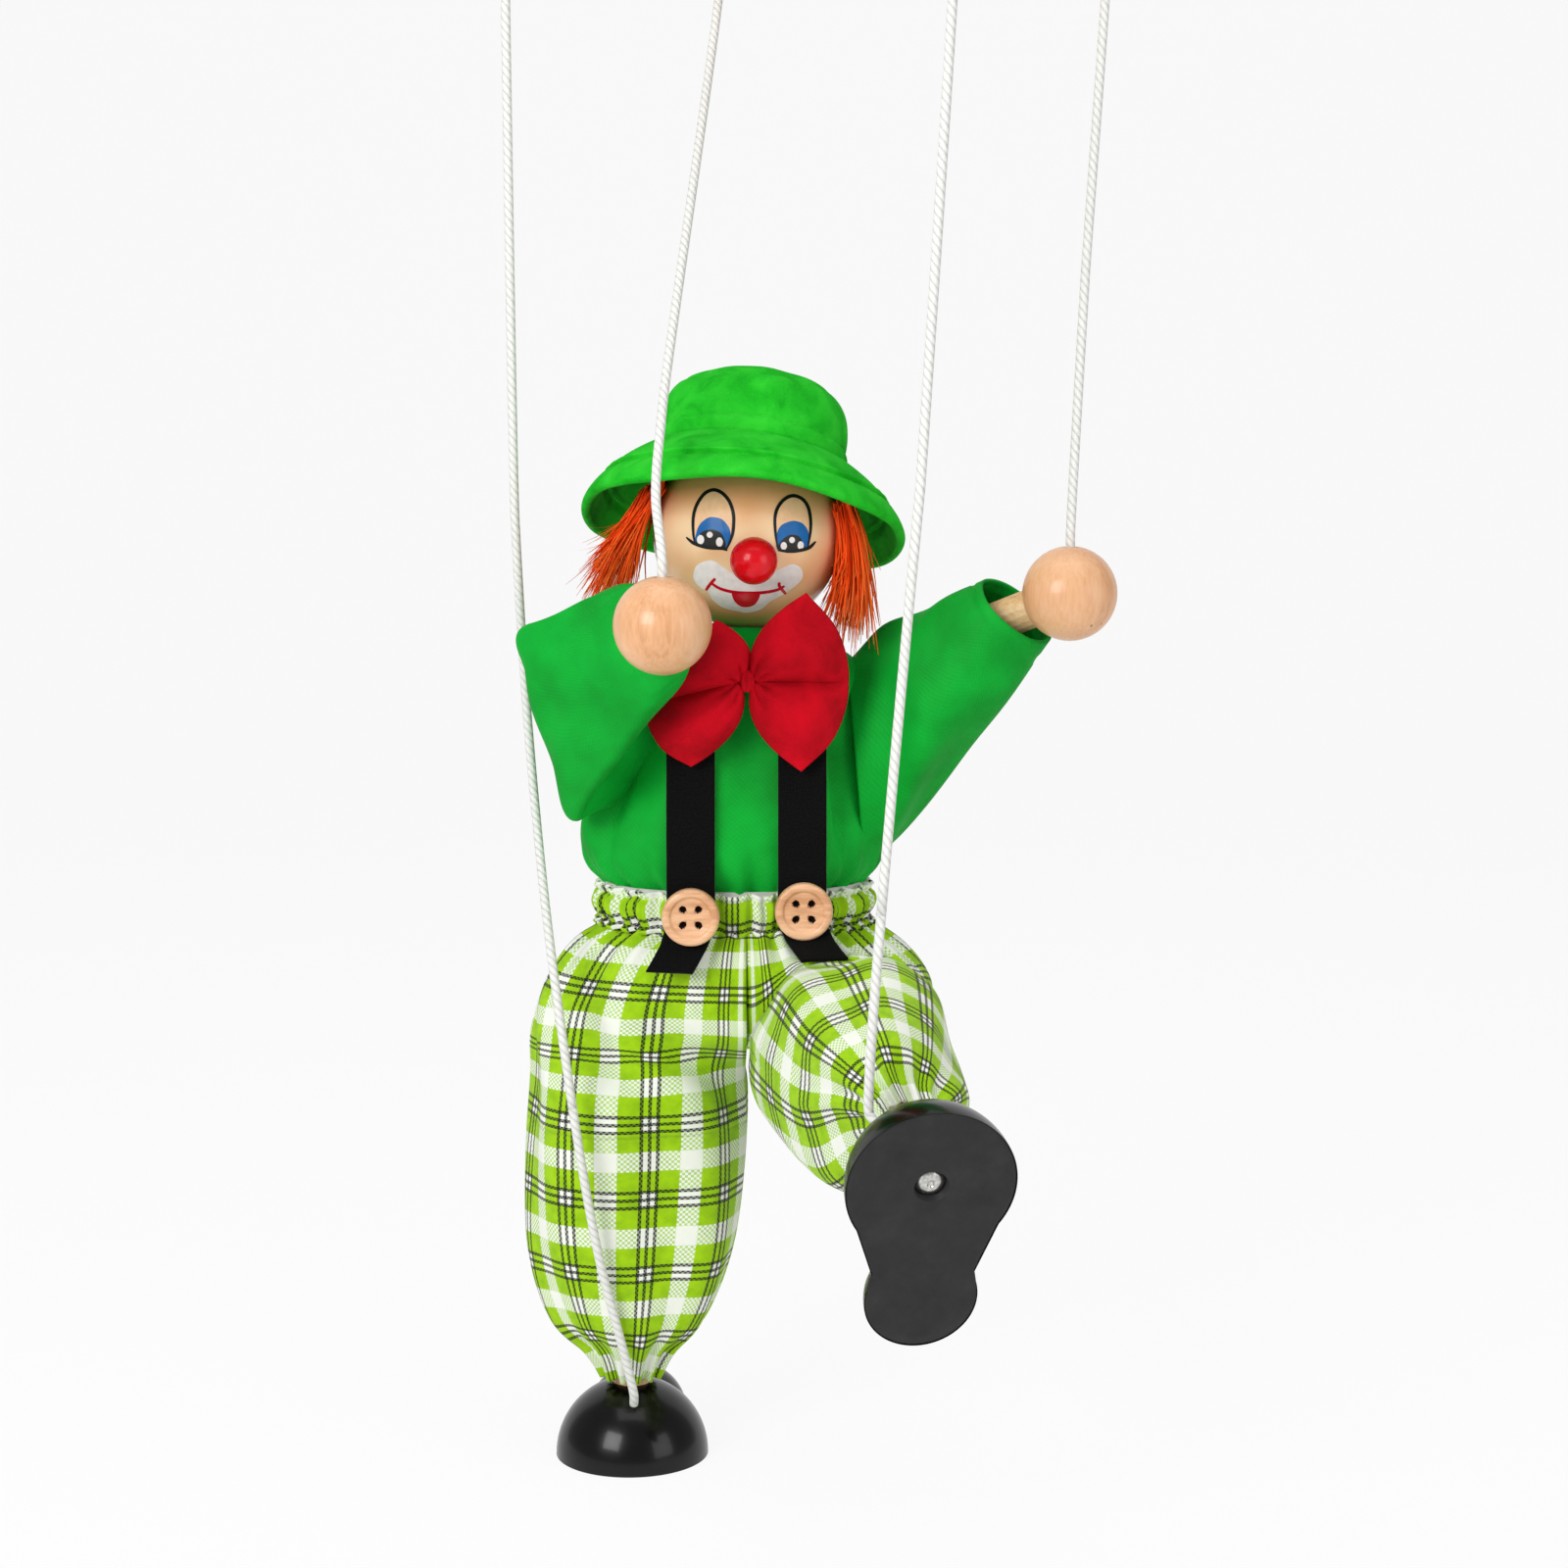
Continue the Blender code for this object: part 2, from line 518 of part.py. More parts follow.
def add_shirt():
    rows = []
    for height, centre, half_width, half_depth in SHIRT:
        gather = 0.02 if height < 140.0 else 0.0
        rows.append(oval(Vector((centre, 0.0, height)) * MM, Vector((half_width, 0.0, 0.0)) * MM,
                         Vector((0.0, half_depth, 0.0)) * MM, 30, SHIRT_GATHERS, gather, 0.95))
    shirt = loft("shirt_body", rows, GREEN_CLOTH)
    for side, shoulder in SHOULDERS.items():
        cut(shirt, "arm_way_" + side, cylinder("arm_way", ARM_WAY_RADIUS, -8.0 * MM, 40.0 * MM), shoulder,
            facing(HANDS[side] - shoulder))
        centre, outward, half_depth = ARMHOLES[side]
        oval_size = Matrix.Diagonal((ARMHOLE_HEIGHT / 2.0, half_depth, 1.0))
        wide = facing(outward, Vector((0.0, 0.0, 1.0))) @ oval_size
        cut(shirt, "armhole_" + side, cylinder("armhole", 1.0, -12.0 * MM, 25.0 * MM), centre, wide)
    sleeves = {
        "right": (((28.5, 0.0, 178.0), (32.5, 0.0, 132.5), 14.0, (1.0, 0.0, 0.0), 0.0),
                  ((36.0, -6.5, 182.5), (43.5, -8.0, 148.0), 12.5, (0.9, -0.3, 0.3), 0.02),
                  ((42.5, -11.0, 186.5), (54.0, -13.0, 162.0), 11.0, (0.87, -0.38, 0.33), 0.015),
                  ((49.2, -14.2, 188.6), (63.0, -16.8, 176.2), 9.3, (0.85, -0.39, 0.36), 0.0)),
        "left": (((-21.0, -11.4, 181.5), (-31.5, -19.0, 134.0), 10.5, (-0.7, -0.7, 0.0), 0.0),
                 ((-23.0, -19.0, 184.5), (-36.5, -21.5, 140.0), 18.5, (-0.6, -0.8, 0.0), 0.03),
                 ((-25.0, -30.5, 186.5), (-29.0, -35.0, 151.0), 15.0, (-0.15, -0.98, 0.1), 0.02),
                 ((-20.0, -35.5, 187.0), (-18.0, -40.5, 167.3), 9.5, (0.18, -0.95, 0.24), 0.0)),
    }
    for side, rings in sleeves.items():
        rows = [sleeve_ring(*ring[:4], fold=ring[4]) for ring in rings]
        sleeve = loft("sleeve_" + side, rows, GREEN_CLOTH)
        sleeve.modifiers.remove(sleeve.modifiers["cloth thickness"])
        soften = sleeve.modifiers.new("soft form", "SUBSURF")
        soften.levels = soften.render_levels = 1
        thicken(sleeve, CLOTH)


def add_bow_tie():
    wings = {
        "bow_wing_right": (1.0, (12.4, 186.5), (21.0, 167.5), (11.4, 149.5)),
        "bow_wing_left": (-1.0, (6.0, 181.0), (20.5, 163.0), (11.4, 150.5)),
    }
    for name, (side, *corners) in wings.items():
        middle = Vector((side * 2.9, BOW_Y, 168.5)) * MM
        tips = [Vector((side * x, BOW_Y + back, z)) * MM for (x, z), back in zip(corners, (1.5, 7.0, 1.5))]
        rows = []
        for ring in range(6):
            reach = 0.14 + 0.86 * ring / 5
            row = []
            for i in range(13):
                turn = i / 12
                first = 0 if turn < 0.5 else 1
                edge = tips[first].lerp(tips[first + 1], turn * 2.0 - first)
                swell = 1.0 + 0.10 * math.sin(2.0 * math.pi * (turn * 2.0 % 1.0)) ** 2
                point = middle.lerp(middle + (edge - middle) * swell, reach)
                fold = 1.5 * math.cos(2.0 * math.pi * 2.0 * turn) * math.sin(math.pi * min(1.0, reach * 1.05))
                row.append(point + Vector((0.0, fold - 2.0 * math.sin(math.pi * reach), 0.0)) * MM)
            rows.append(row)
        loft(name, rows, RED_FELT, False, 1.1 * MM)
    knot = place("bow_knot", box("bow_knot", Vector((4.6, 6.4, 8.4)) * MM), RED_FELT,
                 Vector((0.2, BOW_Y, 168.5)) * MM)
    round_edges(knot, 1.8 * MM, 3)


def add_braces():
    for side, x in (("left", -11.6), ("right", 11.6)):
        sign = math.copysign(1.0, x)
        half = RIBBON_WIDTH / 2.0
        rows = []
        heights = [164.0, 157.0, 150.0, 142.0, 136.0, 130.5]
        path = [(x, min(shirt_front(x - 5.0, z), shirt_front(x + 5.0, z), shirt_front(x, z)) - 1.6, z)
                for z in heights]
        path += [(x, -22.9, 126.0), (x, -22.9, 119.0), (x + sign, -23.4, 114.2),
                 (x + sign * 2.5, -27.5, 112.0), (x + sign * 4.5, -31.5, 111.6)]
        for at, y, z in path:
            tilt = Vector((1.0, 0.0, 0.0)) if z > 113.0 else Vector((0.96, sign * 0.22, 0.0))
            point = Vector((at, y, z)) * MM
            rows.append([point - tilt * half, point, point + tilt * half])
        loft("brace_" + side, rows, BLACK_RIBBON, False, 0.7 * MM)


def add_buttons():
    """A turned button: a rim round a shallow dish, with four holes."""
    profile = ((0.0, 0.5), (4.0, 0.5), (4.5, 1.1), (5.4, 1.3), (6.0, 0.8), (6.0, -0.8), (5.4, -1.2),
               (0.0, -1.2))
    for side, centre in BUTTONS.items():
        mesh = bpy.data.meshes.new("button_" + side)
        points = [(x * MM, 0.0, z * MM) for x, z in profile]
        mesh.from_pydata(points, [(i, i + 1) for i in range(len(points) - 1)], [])
        turn = facing(Vector((0.0, -1.0, 0.0)))
        button = place("button_" + side, mesh, BUTTON_WOOD, centre, turn)
        spin = button.modifiers.new("turned", "SCREW")
        spin.steps = spin.render_steps = 20
        spin.use_merge_vertices = True
        spin.merge_threshold = 0.00001
        for i in range(4):
            angle = math.radians(45.0 + 90.0 * i)
            place_at = centre + turn @ (Vector((math.cos(angle), math.sin(angle), 0.0)) * 2.1 * MM)
            cut(button, "button_hole_%s_%d" % (side, i + 1),
                cylinder("button_hole", 0.8 * MM, -4.0 * MM, 4.0 * MM, 10), place_at, turn)


def add_trousers():
    add_waistband()
    seats = {
        "left": ((115.2, 115.2, 115.2, 115.2, 28.5, 19.8, 19.5, 0.0),
                 (110.0, 110.0, 110.0, 110.0, 37.0, 21.5, 21.0, 0.0),
                 (100.0, 100.0, 100.0, 100.0, 44.0, 22.5, 22.0, 0.0),
                 (91.0, 91.0, 90.0, 90.0, 46.5, 20.0, 19.5, 0.0)),
        "right": ((115.2, 115.2, 115.2, 115.2, 25.5, 19.8, 19.5, 0.0),
                  (109.5, 111.0, 109.0, 107.0, 33.5, 21.0, 22.0, 5.0),
                  (101.0, 110.4, 101.0, 96.0, 39.0, 21.5, 22.0, 9.0),
                  (91.0, 110.4, 92.0, 84.0, 40.5, 20.0, 18.0, 13.0)),
    }
    legs = {
        "left": (((-23.8, -2.0, 80.0), 23.2, (0.0, 21.0, 0.0)),
                 ((-24.0, -5.0, 66.0), 23.6, (0.0, 19.5, 0.0)),
                 ((-24.6, -8.5, 46.0), 21.8, (0.0, 17.0, 0.0)),
                 ((-25.0, -12.0, 31.0), 16.5, (0.0, 11.5, 0.0)),
                 ((-25.0, -12.0, 24.0), 8.0, (0.0, 8.0, 0.0)),
                 ((-25.0, -12.0, 20.0), 5.9, (0.0, 5.9, 0.0))),
        "right": (((21.5, -21.0, 91.0), 20.8, (0.0, 13.5, -21.0)),
                  ((23.5, -37.0, 89.5), 20.0, (0.0, 5.0, -24.0)),
                  ((27.0, -54.0, 87.0), 16.5, (1.0, 1.5, -22.0)),
                  ((30.0, -66.5, 89.5), 12.0, (1.5, 4.0, -14.0)),
                  ((31.5, -73.0, 89.6), 7.5, (1.5, 3.0, -7.6)),
                  ((32.3, -76.4, 87.5), 5.9, (0.5, 2.0, -5.6))),
    }
    for side, arcs in seats.items():
        sign = -1.0 if side == "left" else 1.0
        rows = [trouser_arc(sign, *arc) for arc in arcs]
        for number, (centre, half_width, down) in enumerate(legs[side]):
            row = []
            for i in range(25):
                angle = 2.0 * math.pi * i / 24
                puff = 1.0 + (0.05 * math.cos(7.0 * angle) if 1 < number < 5 else 0.0)
                across = Vector((-sign * half_width, 0.0, 0.0)) * math.cos(angle) * puff
                along = Vector(down) * -math.sin(angle) * puff
                point = Vector(centre) + across + along
                point.x = sign * max(sign * point.x, 0.5)
                row.append(point * MM)
            row[-1] = row[0].copy()
            rows.append(row)
        loft("trouser_" + side, rows, LIME_PLAID, False)


def trouser_arc(sign, seam_z, front_z, side_z, back_z, half_width, front, back, bulge):
    """Half the seat, front seam round the side to the back seam, over a raised thigh if it bulges."""
    row = []
    for i in range(25):
        angle = math.pi * i / 24
        rise = min(1.0, angle / math.radians(20.0))
        z = seam_z + (front_z - seam_z) * rise * rise * (3.0 - 2.0 * rise)
        if angle > math.pi / 2.0:
            z = side_z + (back_z - side_z) * (2.0 * angle / math.pi - 1.0)
        elif angle > math.pi / 4.0:
            z = front_z + (side_z - front_z) * (4.0 * angle / math.pi - 1.0)
        gather = 1.0 + (0.03 * math.cos(18.0 * angle) if side_z > 108.0 else 0.0)
        depth = front if angle < math.pi / 2.0 else back
        y = -depth * math.cos(angle) * gather
        if angle < math.pi / 2.0:
            y -= bulge * math.sin(2.0 * angle)
        row.append(Vector((sign * (0.4 + half_width * math.sin(angle) * gather), y, z)) * MM)
    return row


def add_waistband():
    """The gathered casing stands proud of the trousers, round its elastic and the shirt's tail."""
    rows = []
    for height, swell in ((115.9, 1.0), (118.5, 1.07), (123.0, 1.07), (126.0, 1.0)):
        rows.append(oval(Vector((-3.0, 0.0, height)) * MM, Vector((29.5 * swell, 0.0, 0.0)) * MM,
                         Vector((0.0, 20.2 * swell, 0.0)) * MM, 60, 20, 0.022, 0.95))
    loft("waistband", rows, LIME_PLAID)
    rows = [oval(Vector((-3.0, 0.0, height)) * MM, Vector((27.9, 0.0, 0.0)) * MM,
                 Vector((0.0, 18.6, 0.0)) * MM, 36, 0, 0.0, 0.95) for height in (117.5, 123.5)]
    loft("waist_elastic", rows, ELASTIC, True, 0.6 * MM)


string_tops = add_control()
add_strings(string_tops)
add_head()
add_torso()
add_arms()
add_legs()
add_shirt()
add_bow_tie()
add_braces()
add_buttons()
add_trousers()
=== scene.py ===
# Dresses the string puppet: cloth, felt, fibre hair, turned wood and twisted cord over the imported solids.
import math

import bpy
import bmesh
import numpy as np
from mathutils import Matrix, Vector


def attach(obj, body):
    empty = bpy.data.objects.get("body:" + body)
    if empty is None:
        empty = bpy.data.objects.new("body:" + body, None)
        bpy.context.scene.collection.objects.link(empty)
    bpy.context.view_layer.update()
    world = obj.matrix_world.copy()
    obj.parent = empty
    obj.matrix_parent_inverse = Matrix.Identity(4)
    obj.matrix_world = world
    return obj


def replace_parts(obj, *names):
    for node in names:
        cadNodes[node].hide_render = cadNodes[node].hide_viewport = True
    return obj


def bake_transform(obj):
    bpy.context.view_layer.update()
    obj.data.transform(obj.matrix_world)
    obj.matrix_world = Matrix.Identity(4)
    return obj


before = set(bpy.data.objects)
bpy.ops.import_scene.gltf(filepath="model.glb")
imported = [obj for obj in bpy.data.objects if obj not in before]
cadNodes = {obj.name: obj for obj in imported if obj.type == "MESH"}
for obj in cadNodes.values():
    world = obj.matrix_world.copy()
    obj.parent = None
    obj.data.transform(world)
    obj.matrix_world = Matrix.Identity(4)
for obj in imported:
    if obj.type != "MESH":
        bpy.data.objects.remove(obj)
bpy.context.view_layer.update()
grip = np.array((18.0, -8.0, 341.0))     # mm, the grip on the control over the floor under the standing foot
rng = np.random.default_rng(11)
tau = 2.0 * math.pi
print("frame loaded:", len(cadNodes), "solids")


def inFrame(points):                     # millimetres over the floor to metres from the grip
    return (np.asarray(points, float) - grip) * 0.001


def linear(hexColour):                   # sRGB hex to linear, with alpha
    c = np.array([int(hexColour[i:i + 2], 16) for i in (1, 3, 5)]) / 255.0
    return (*np.where(c <= 0.04045, c / 12.92, ((c + 0.055) / 1.055) ** 2.4), 1.0)


def outOf(value):                        # a node stands for its first live output; anything else for itself
    return next(s for s in value.outputs if s.enabled) if isinstance(value, bpy.types.Node) else value


# One shader node: values fill its live sockets in order, a capital names a socket, other names are settings,
# and stops are (place, hex) pairs along a colour ramp.
def add(tree, kind, *values, stops=(), **facts):
    made = tree.nodes.new("ShaderNode" + kind)
    for key in [key for key in facts if key[0].islower()]:
        setattr(made, key, facts.pop(key))
    live = [socket for socket in made.inputs if socket.enabled]
    for socket, value in [*zip(live, values), *((made.inputs[key], value) for key, value in facts.items())]:
        if isinstance(outOf(value), bpy.types.NodeSocket):
            tree.links.new(outOf(value), socket)
        else:
            socket.default_value = value
    for at, (place, colour) in enumerate(stops):
        stop = made.color_ramp.elements[at] if at < 2 else made.color_ramp.elements.new(place)
        stop.position, stop.color = place, linear(colour)
    return made


def finish(name, sockets):               # a Principled finish with the sockets that are the same all over
    made = bpy.data.materials.new(name)
    made.use_nodes = True
    for key, value in sockets.items():
        made.node_tree.nodes["Principled BSDF"].inputs[key].default_value = value
    return made, made.node_tree


def coated(made, colour, height=None, strength=0.0, distance=0.0):   # colour and bump into the finish
    tree = made.node_tree
    shader = tree.nodes["Principled BSDF"]
    tree.links.new(outOf(colour), shader.inputs["Base Color"])
    if height is not None:
        bump = add(tree, "Bump", Strength=strength, Distance=distance, Height=height)
        tree.links.new(bump.outputs[0], shader.inputs["Normal"])
    return made


def grid(*parts):                        # coordinates of several shapes spread to one grid of points
    return np.stack(np.broadcast_arrays(*parts), axis=-1)


def circle(count):                       # equal angles once round
    return np.arange(count) / count * tau


def unit(vectors):                       # vectors over their own length
    return vectors / np.linalg.norm(vectors, axis=-1, keepdims=True)


def waves(form, rows, turn, along=0.0):  # sum of depth times the sine or cosine of count turns, lean and phase
    return sum(depth * form(count * turn + lean * along + phase) for depth, count, lean, phase in rows)


def through(rows, steps):                # Catmull-Rom rows through the given rows, steps to a span
    rows = np.asarray(rows, float)
    padded = np.concatenate([2 * rows[:1] - rows[1:2], rows, 2 * rows[-1:] - rows[-2:-1]])
    t = (np.arange(steps) / steps).reshape((1, steps) + (1,) * (rows.ndim - 1))
    a, b, c, d = (padded[i:len(padded) - 3 + i, None] for i in range(4))
    fine = 0.5 * (2 * b + (c - a) * t + (2 * a - 5 * b + 4 * c - d) * t ** 2 + (3 * b - a - 3 * c + d) * t ** 3)
    return np.concatenate([fine.reshape((-1,) + rows.shape[1:]), rows[-1:]])


def ease(x, low, high):                  # 0 below low, 1 above high, smooth between
    t = np.clip((np.asarray(x, float) - low) / (high - low), 0.0, 1.0)
    return t * t * (3.0 - 2.0 * t)


def lengths(points):                     # distance along each column of a grid, or along one path
    gaps = np.linalg.norm(np.diff(points, axis=0), axis=-1)
    return np.concatenate([np.zeros((1,) + gaps.shape[1:]), np.cumsum(gaps, axis=0)])


def clothMap(u, points):                 # cloth coordinates: u across, the mean distance down the grid along
    return grid(u, lengths(points).mean(1)[:, None])


def outward(points, wrap):               # normals of a grid from its two tangents, each row turned from its middle
    if wrap:
        across = np.roll(points, -1, axis=1) - np.roll(points, 1, axis=1)
    else:
        across = np.gradient(points, axis=1)
    found = np.cross(np.gradient(points, axis=0), across)
    found /= np.maximum(np.linalg.norm(found, axis=-1, keepdims=True), 1e-9)
    return found * np.sign(((points - points.mean(1, keepdims=True)) * found).sum((1, 2), keepdims=True))


def linked(name, points, faces, look, corners=None):   # a smooth mesh in the scene, from points in mm
    mesh = bpy.data.meshes.new(name)
    mesh.from_pydata(inFrame(points).reshape(-1, 3).tolist(), [], faces.tolist())
    if corners is not None:
        mesh.uv_layers.new(name="cloth").uv.foreach_set("vector", corners.astype(np.float32).ravel())
    mesh.shade_smooth()
    for one in (look if isinstance(look, list) else [look]):
        mesh.materials.append(one)
    made = bpy.data.objects.new(name, mesh)
    bpy.context.scene.collection.objects.link(made)
    return made


# Quads between neighbours of a grid of points in mm; wrap joins the last column to the first. uv is in millimetres
# of cloth, one column wider where the grid wraps. A wall goes inwards, or to both sides where its offset is 0.
def surface(name, points, look, wrap=True, uv=None, wall=0.0, offset=-1.0):
    rows, cols = points.shape[:2]
    i, j = (x.ravel() for x in np.mgrid[0:rows - 1, 0:cols if wrap else cols - 1])
    k = (j + 1) % cols
    faces = np.stack([i * cols + j, (i + 1) * cols + j, (i + 1) * cols + k, i * cols + k], axis=1)
    corners = None
    if uv is not None:
        corners = np.stack([uv[i, j], uv[i + 1, j], uv[i + 1, j + 1], uv[i, j + 1]], axis=1)
    made = linked(name, points, faces, look, corners)
    weld = bmesh.new()
    weld.from_mesh(made.data)
    bmesh.ops.remove_doubles(weld, verts=weld.verts, dist=2e-6)
    bmesh.ops.recalc_face_normals(weld, faces=weld.faces)
    weld.to_mesh(made.data)
    weld.free()
    if wall:
        step = made.modifiers.new("wall", "SOLIDIFY")
        step.thickness, step.offset = wall * 0.001, offset
    return made


# A round tube: circles of the radius square to the path, turned about a steady side vector.
def tube(name, path, radius, look, around=10, side=(0.0, 1.0, 0.0), ends=True):
    path = np.asarray(path, float)
    ahead = unit(np.gradient(path, axis=0))
    out = unit(np.cross(ahead, side))
    up = np.cross(ahead, out)
    turn = circle(around)
    ring = out[:, None] * np.cos(turn)[None, :, None] + up[:, None] * np.sin(turn)[None, :, None]
    points = path[:, None] + ring * radius
    run = lengths(path)
    if ends:                             # each end closes on its middle
        points = np.concatenate([path[:1, None].repeat(around, 1), points, path[-1:, None].repeat(around, 1)])
        run = np.concatenate([run[:1], run, run[-1:]])
    return surface(name, points, look, True, grid(np.linspace(0.0, 1.0, around + 1) * tau * radius, run[:, None]))


# The view of the photograph, from the size of the 1600 px frame, on white paper under three soft lamps: each
# lamp's place and size in mm, and its watts.
view = dict(stands=(7.8, -650, 228), looksAt=(7.8, 0, 144), focalPx=3121, framePx=1600, sensor=36,
            paper="#FFFFFF", paperShare=0.9, roomLevel=0.36, floor=(-2600, 1200), bend=500,
            wall=(600, 3000), halfWide=2600, sunk=0.05, lampsAim=(0, -20, 120),
            lamps=dict(key=((-420, -640, 450), 380, 4), fill=((620, -520, 300), 460, 1.4),
                       top=((0, -60, 820), 620, 1.9)))


def addStage():                          # camera, paper that runs back and bends up round a quarter circle, lamps
    scene = bpy.context.scene
    camera = bpy.data.objects.new("camera", bpy.data.cameras.new("camera"))
    scene.collection.objects.link(camera)
    stands, aim = inFrame(view["stands"]), inFrame(view["looksAt"])
    camera.location = stands
    camera.rotation_euler = (math.pi / 2.0 + math.atan2(aim[2] - stands[2], aim[1] - stands[1]), 0.0, 0.0)
    camera.data.sensor_width = view["sensor"]
    camera.data.lens = view["sensor"] * view["focalPx"] / view["framePx"]
    camera.data.clip_start, camera.data.clip_end = 0.01, 20.0
    scene.camera = camera
    scene.view_settings.view_transform = "Standard"

    (front, back), bend, swing = view["floor"], view["bend"], np.linspace(0.1, 1.57, 12)
    reach = np.concatenate([np.linspace(front, back, 30), back + bend * np.sin(swing), np.full(8, back + bend)])
    rise = np.concatenate([np.zeros(30), bend * (1.0 - np.cos(swing)), np.linspace(*view["wall"], 8)])
    span = np.linspace(-view["halfWide"], view["halfWide"], 12)
    paper, tree = finish("matt white paper", {"Roughness": 0.9, "Base Color": linear("#F4F4F4"),
                                              "Specular IOR Level": 0.1})
    # seen directly or in a reflection it is white paper; for light it stays a plain pale floor with the shadow
    ray = add(tree, "LightPath").outputs
    shown = add(tree, "Math", ray["Is Camera Ray"], ray["Is Glossy Ray"], operation="MAXIMUM")
    seen = add(tree, "Math", shown, ray["Is Transmission Ray"], operation="MAXIMUM")
    share = add(tree, "Math", seen, view["paperShare"], operation="MULTIPLY")
    white = add(tree, "Emission", Color=linear(view["paper"]), Strength=1.0)
    mixed = add(tree, "MixShader", share, tree.nodes["Principled BSDF"], white)
    tree.links.new(mixed.outputs[0], tree.nodes["Material Output"].inputs["Surface"])
    surface("paper_sweep", grid(span, reach[:, None], rise[:, None] - view["sunk"]), paper, False)

    scene.world = bpy.data.worlds.new("soft room")
    scene.world.use_nodes = True
    room = scene.world.node_tree.nodes["Background"].inputs
    room["Color"].default_value, room["Strength"].default_value = (1.0, 1.0, 1.0, 1.0), view["roomLevel"]
    for name, (spot, size, watts) in view["lamps"].items():
        lamp = bpy.data.objects.new(name, bpy.data.lights.new(name, "AREA"))
        scene.collection.objects.link(lamp)
        lamp.data.size, lamp.data.energy = size * 0.001, watts
        lamp.location = inFrame(spot)
        toward = Vector(inFrame(view["lampsAim"]) - inFrame(spot))
        lamp.rotation_euler = toward.to_track_quat("-Z", "Y").to_euler()
    print("stage set")


addStage()


# Beech: fine pale wood with short darker ray flecks, stretched along the grain.
woods = dict(raw=dict(light="#EBCFA4", mid="#DDB681", dark="#B98A55", roughness=0.5, coat=0.0),
             ball=dict(light="#EBB88C", mid="#E3AA7C", dark="#D29766", roughness=0.38, coat=0.2),
             maple=dict(light="#F4C9A2", mid="#E9B489", dark="#CF9468", roughness=0.38, coat=0.2),
             fleck="#6E4322", fleckShare=0.75, stretch=9.0)


def beech(name, kind, grain):            # fibre and band noise to a ramp, with a few dark Voronoi dots over it
    facts = woods[kind]
    made, tree = finish(name, {"Roughness": facts["roughness"], "Coat Weight": facts["coat"],
                               "Coat Roughness": 0.08, "IOR": 1.5})
    along = add(tree, "Mapping", vector_type="TEXTURE", Vector=add(tree, "TexCoord").outputs["Object"],
                Scale=[woods["stretch"] if axis == grain else 1.0 for axis in "xyz"])
    fibre = add(tree, "TexNoise", Vector=along, Scale=1500.0, Detail=4.0, Roughness=0.6)
    band = add(tree, "TexNoise", Vector=along, Scale=130.0, Detail=2.0, Distortion=0.8)
    both = add(tree, "Math", fibre, 0.45, operation="MULTIPLY")
    both = add(tree, "Math", band, 0.62, both, operation="MULTIPLY_ADD")
    tint = add(tree, "ValToRGB", both, stops=((0.36, facts["dark"]), (0.5, facts["mid"]), (0.66, facts["light"])))
    fleck = add(tree, "TexVoronoi", Vector=along, Scale=420.0)
    dot = add(tree, "Math", fleck, 0.105, operation="LESS_THAN")
    few = add(tree, "Math", add(tree, "SeparateColor", fleck.outputs["Color"]), 0.9, operation="GREATER_THAN")
    dark = add(tree, "Math", dot, few, operation="MULTIPLY")
    dark = add(tree, "Math", dark, woods["fleckShare"], operation="MULTIPLY")
    marked = add(tree, "Mix", dark, tint, linear(woods["fleck"]), data_type="RGBA")
    return coated(made, marked, fibre, 0.12, 0.0001)


# Lacquered skin-colour paint on the turned head: satin, warmer round the eyes and cheeks, with painted shade, a warm
# brown, toward the brow under the brim and under the chin.
# Cheeks are places with their reach in mm, shaded are heights from bare to full and the share there.
skinTint = dict(base="#FFCE9C", pale="#FFDDB2", blush="#E0904F", blushShare=0.42, paintedShade="#FA9A62",
                cheeks=((-13, -15, 191, 9), (13.5, -15, 191, 9), (0.5, -19, 204, 6),
                        (-6, -17.5, 195.5, 5), (8.5, -17, 195.5, 5)),
                shaded=((198, 208, 0.7), (188, 181, 0.6)))


def skinLacquer():                       # a cloudy tint, then smooth steps of distance toward the blush and of height toward painted shade
    made, tree = finish("skin lacquer on turned wood", {"Roughness": 0.34, "Coat Weight": 0.5,
                                                        "Coat Roughness": 0.12, "IOR": 1.5})
    spot = add(tree, "TexCoord").outputs["Object"]
    cloud = add(tree, "TexNoise", Vector=spot, Scale=90.0, Detail=3.0)
    tint = add(tree, "ValToRGB", cloud, stops=((0.35, skinTint["base"]), (0.65, skinTint["pale"])))
    for x, y, z, reach in skinTint["cheeks"]:
        away = add(tree, "VectorMath", spot, inFrame((x, y, z)), operation="DISTANCE")
        near = add(tree, "MapRange", away, 0.0, reach * 0.001, skinTint["blushShare"], 0.0,
                   interpolation_type="SMOOTHSTEP")
        tint = add(tree, "Mix", near, tint, linear(skinTint["blush"]), data_type="RGBA")
    level = add(tree, "SeparateXYZ", spot).outputs[2]
    # painted shade: the skin darkens to a warm brown toward the brim above and toward the chin below
    for start, end, most in skinTint["shaded"]:
        low, high = inFrame(((0.0, 0.0, start), (0.0, 0.0, end)))[:, 2]
        near = add(tree, "MapRange", level, low, high, 0.0, most, interpolation_type="SMOOTHSTEP")
        tint = add(tree, "Mix", near, tint, linear(skinTint["paintedShade"]), data_type="RGBA")
    return coated(made, tint, add(tree, "TexNoise", Vector=spot, Scale=900.0), 0.06, 0.00005)


def mottled(name, sockets, noise, stops, strength, distance):   # one noise makes both the tint and the bump
    made, tree = finish(name, sockets)
    spot = add(tree, "TexNoise", Vector=add(tree, "TexCoord").outputs["Object"], **noise)
    return coated(made, add(tree, "ValToRGB", spot, stops=stops), spot, strength, distance)


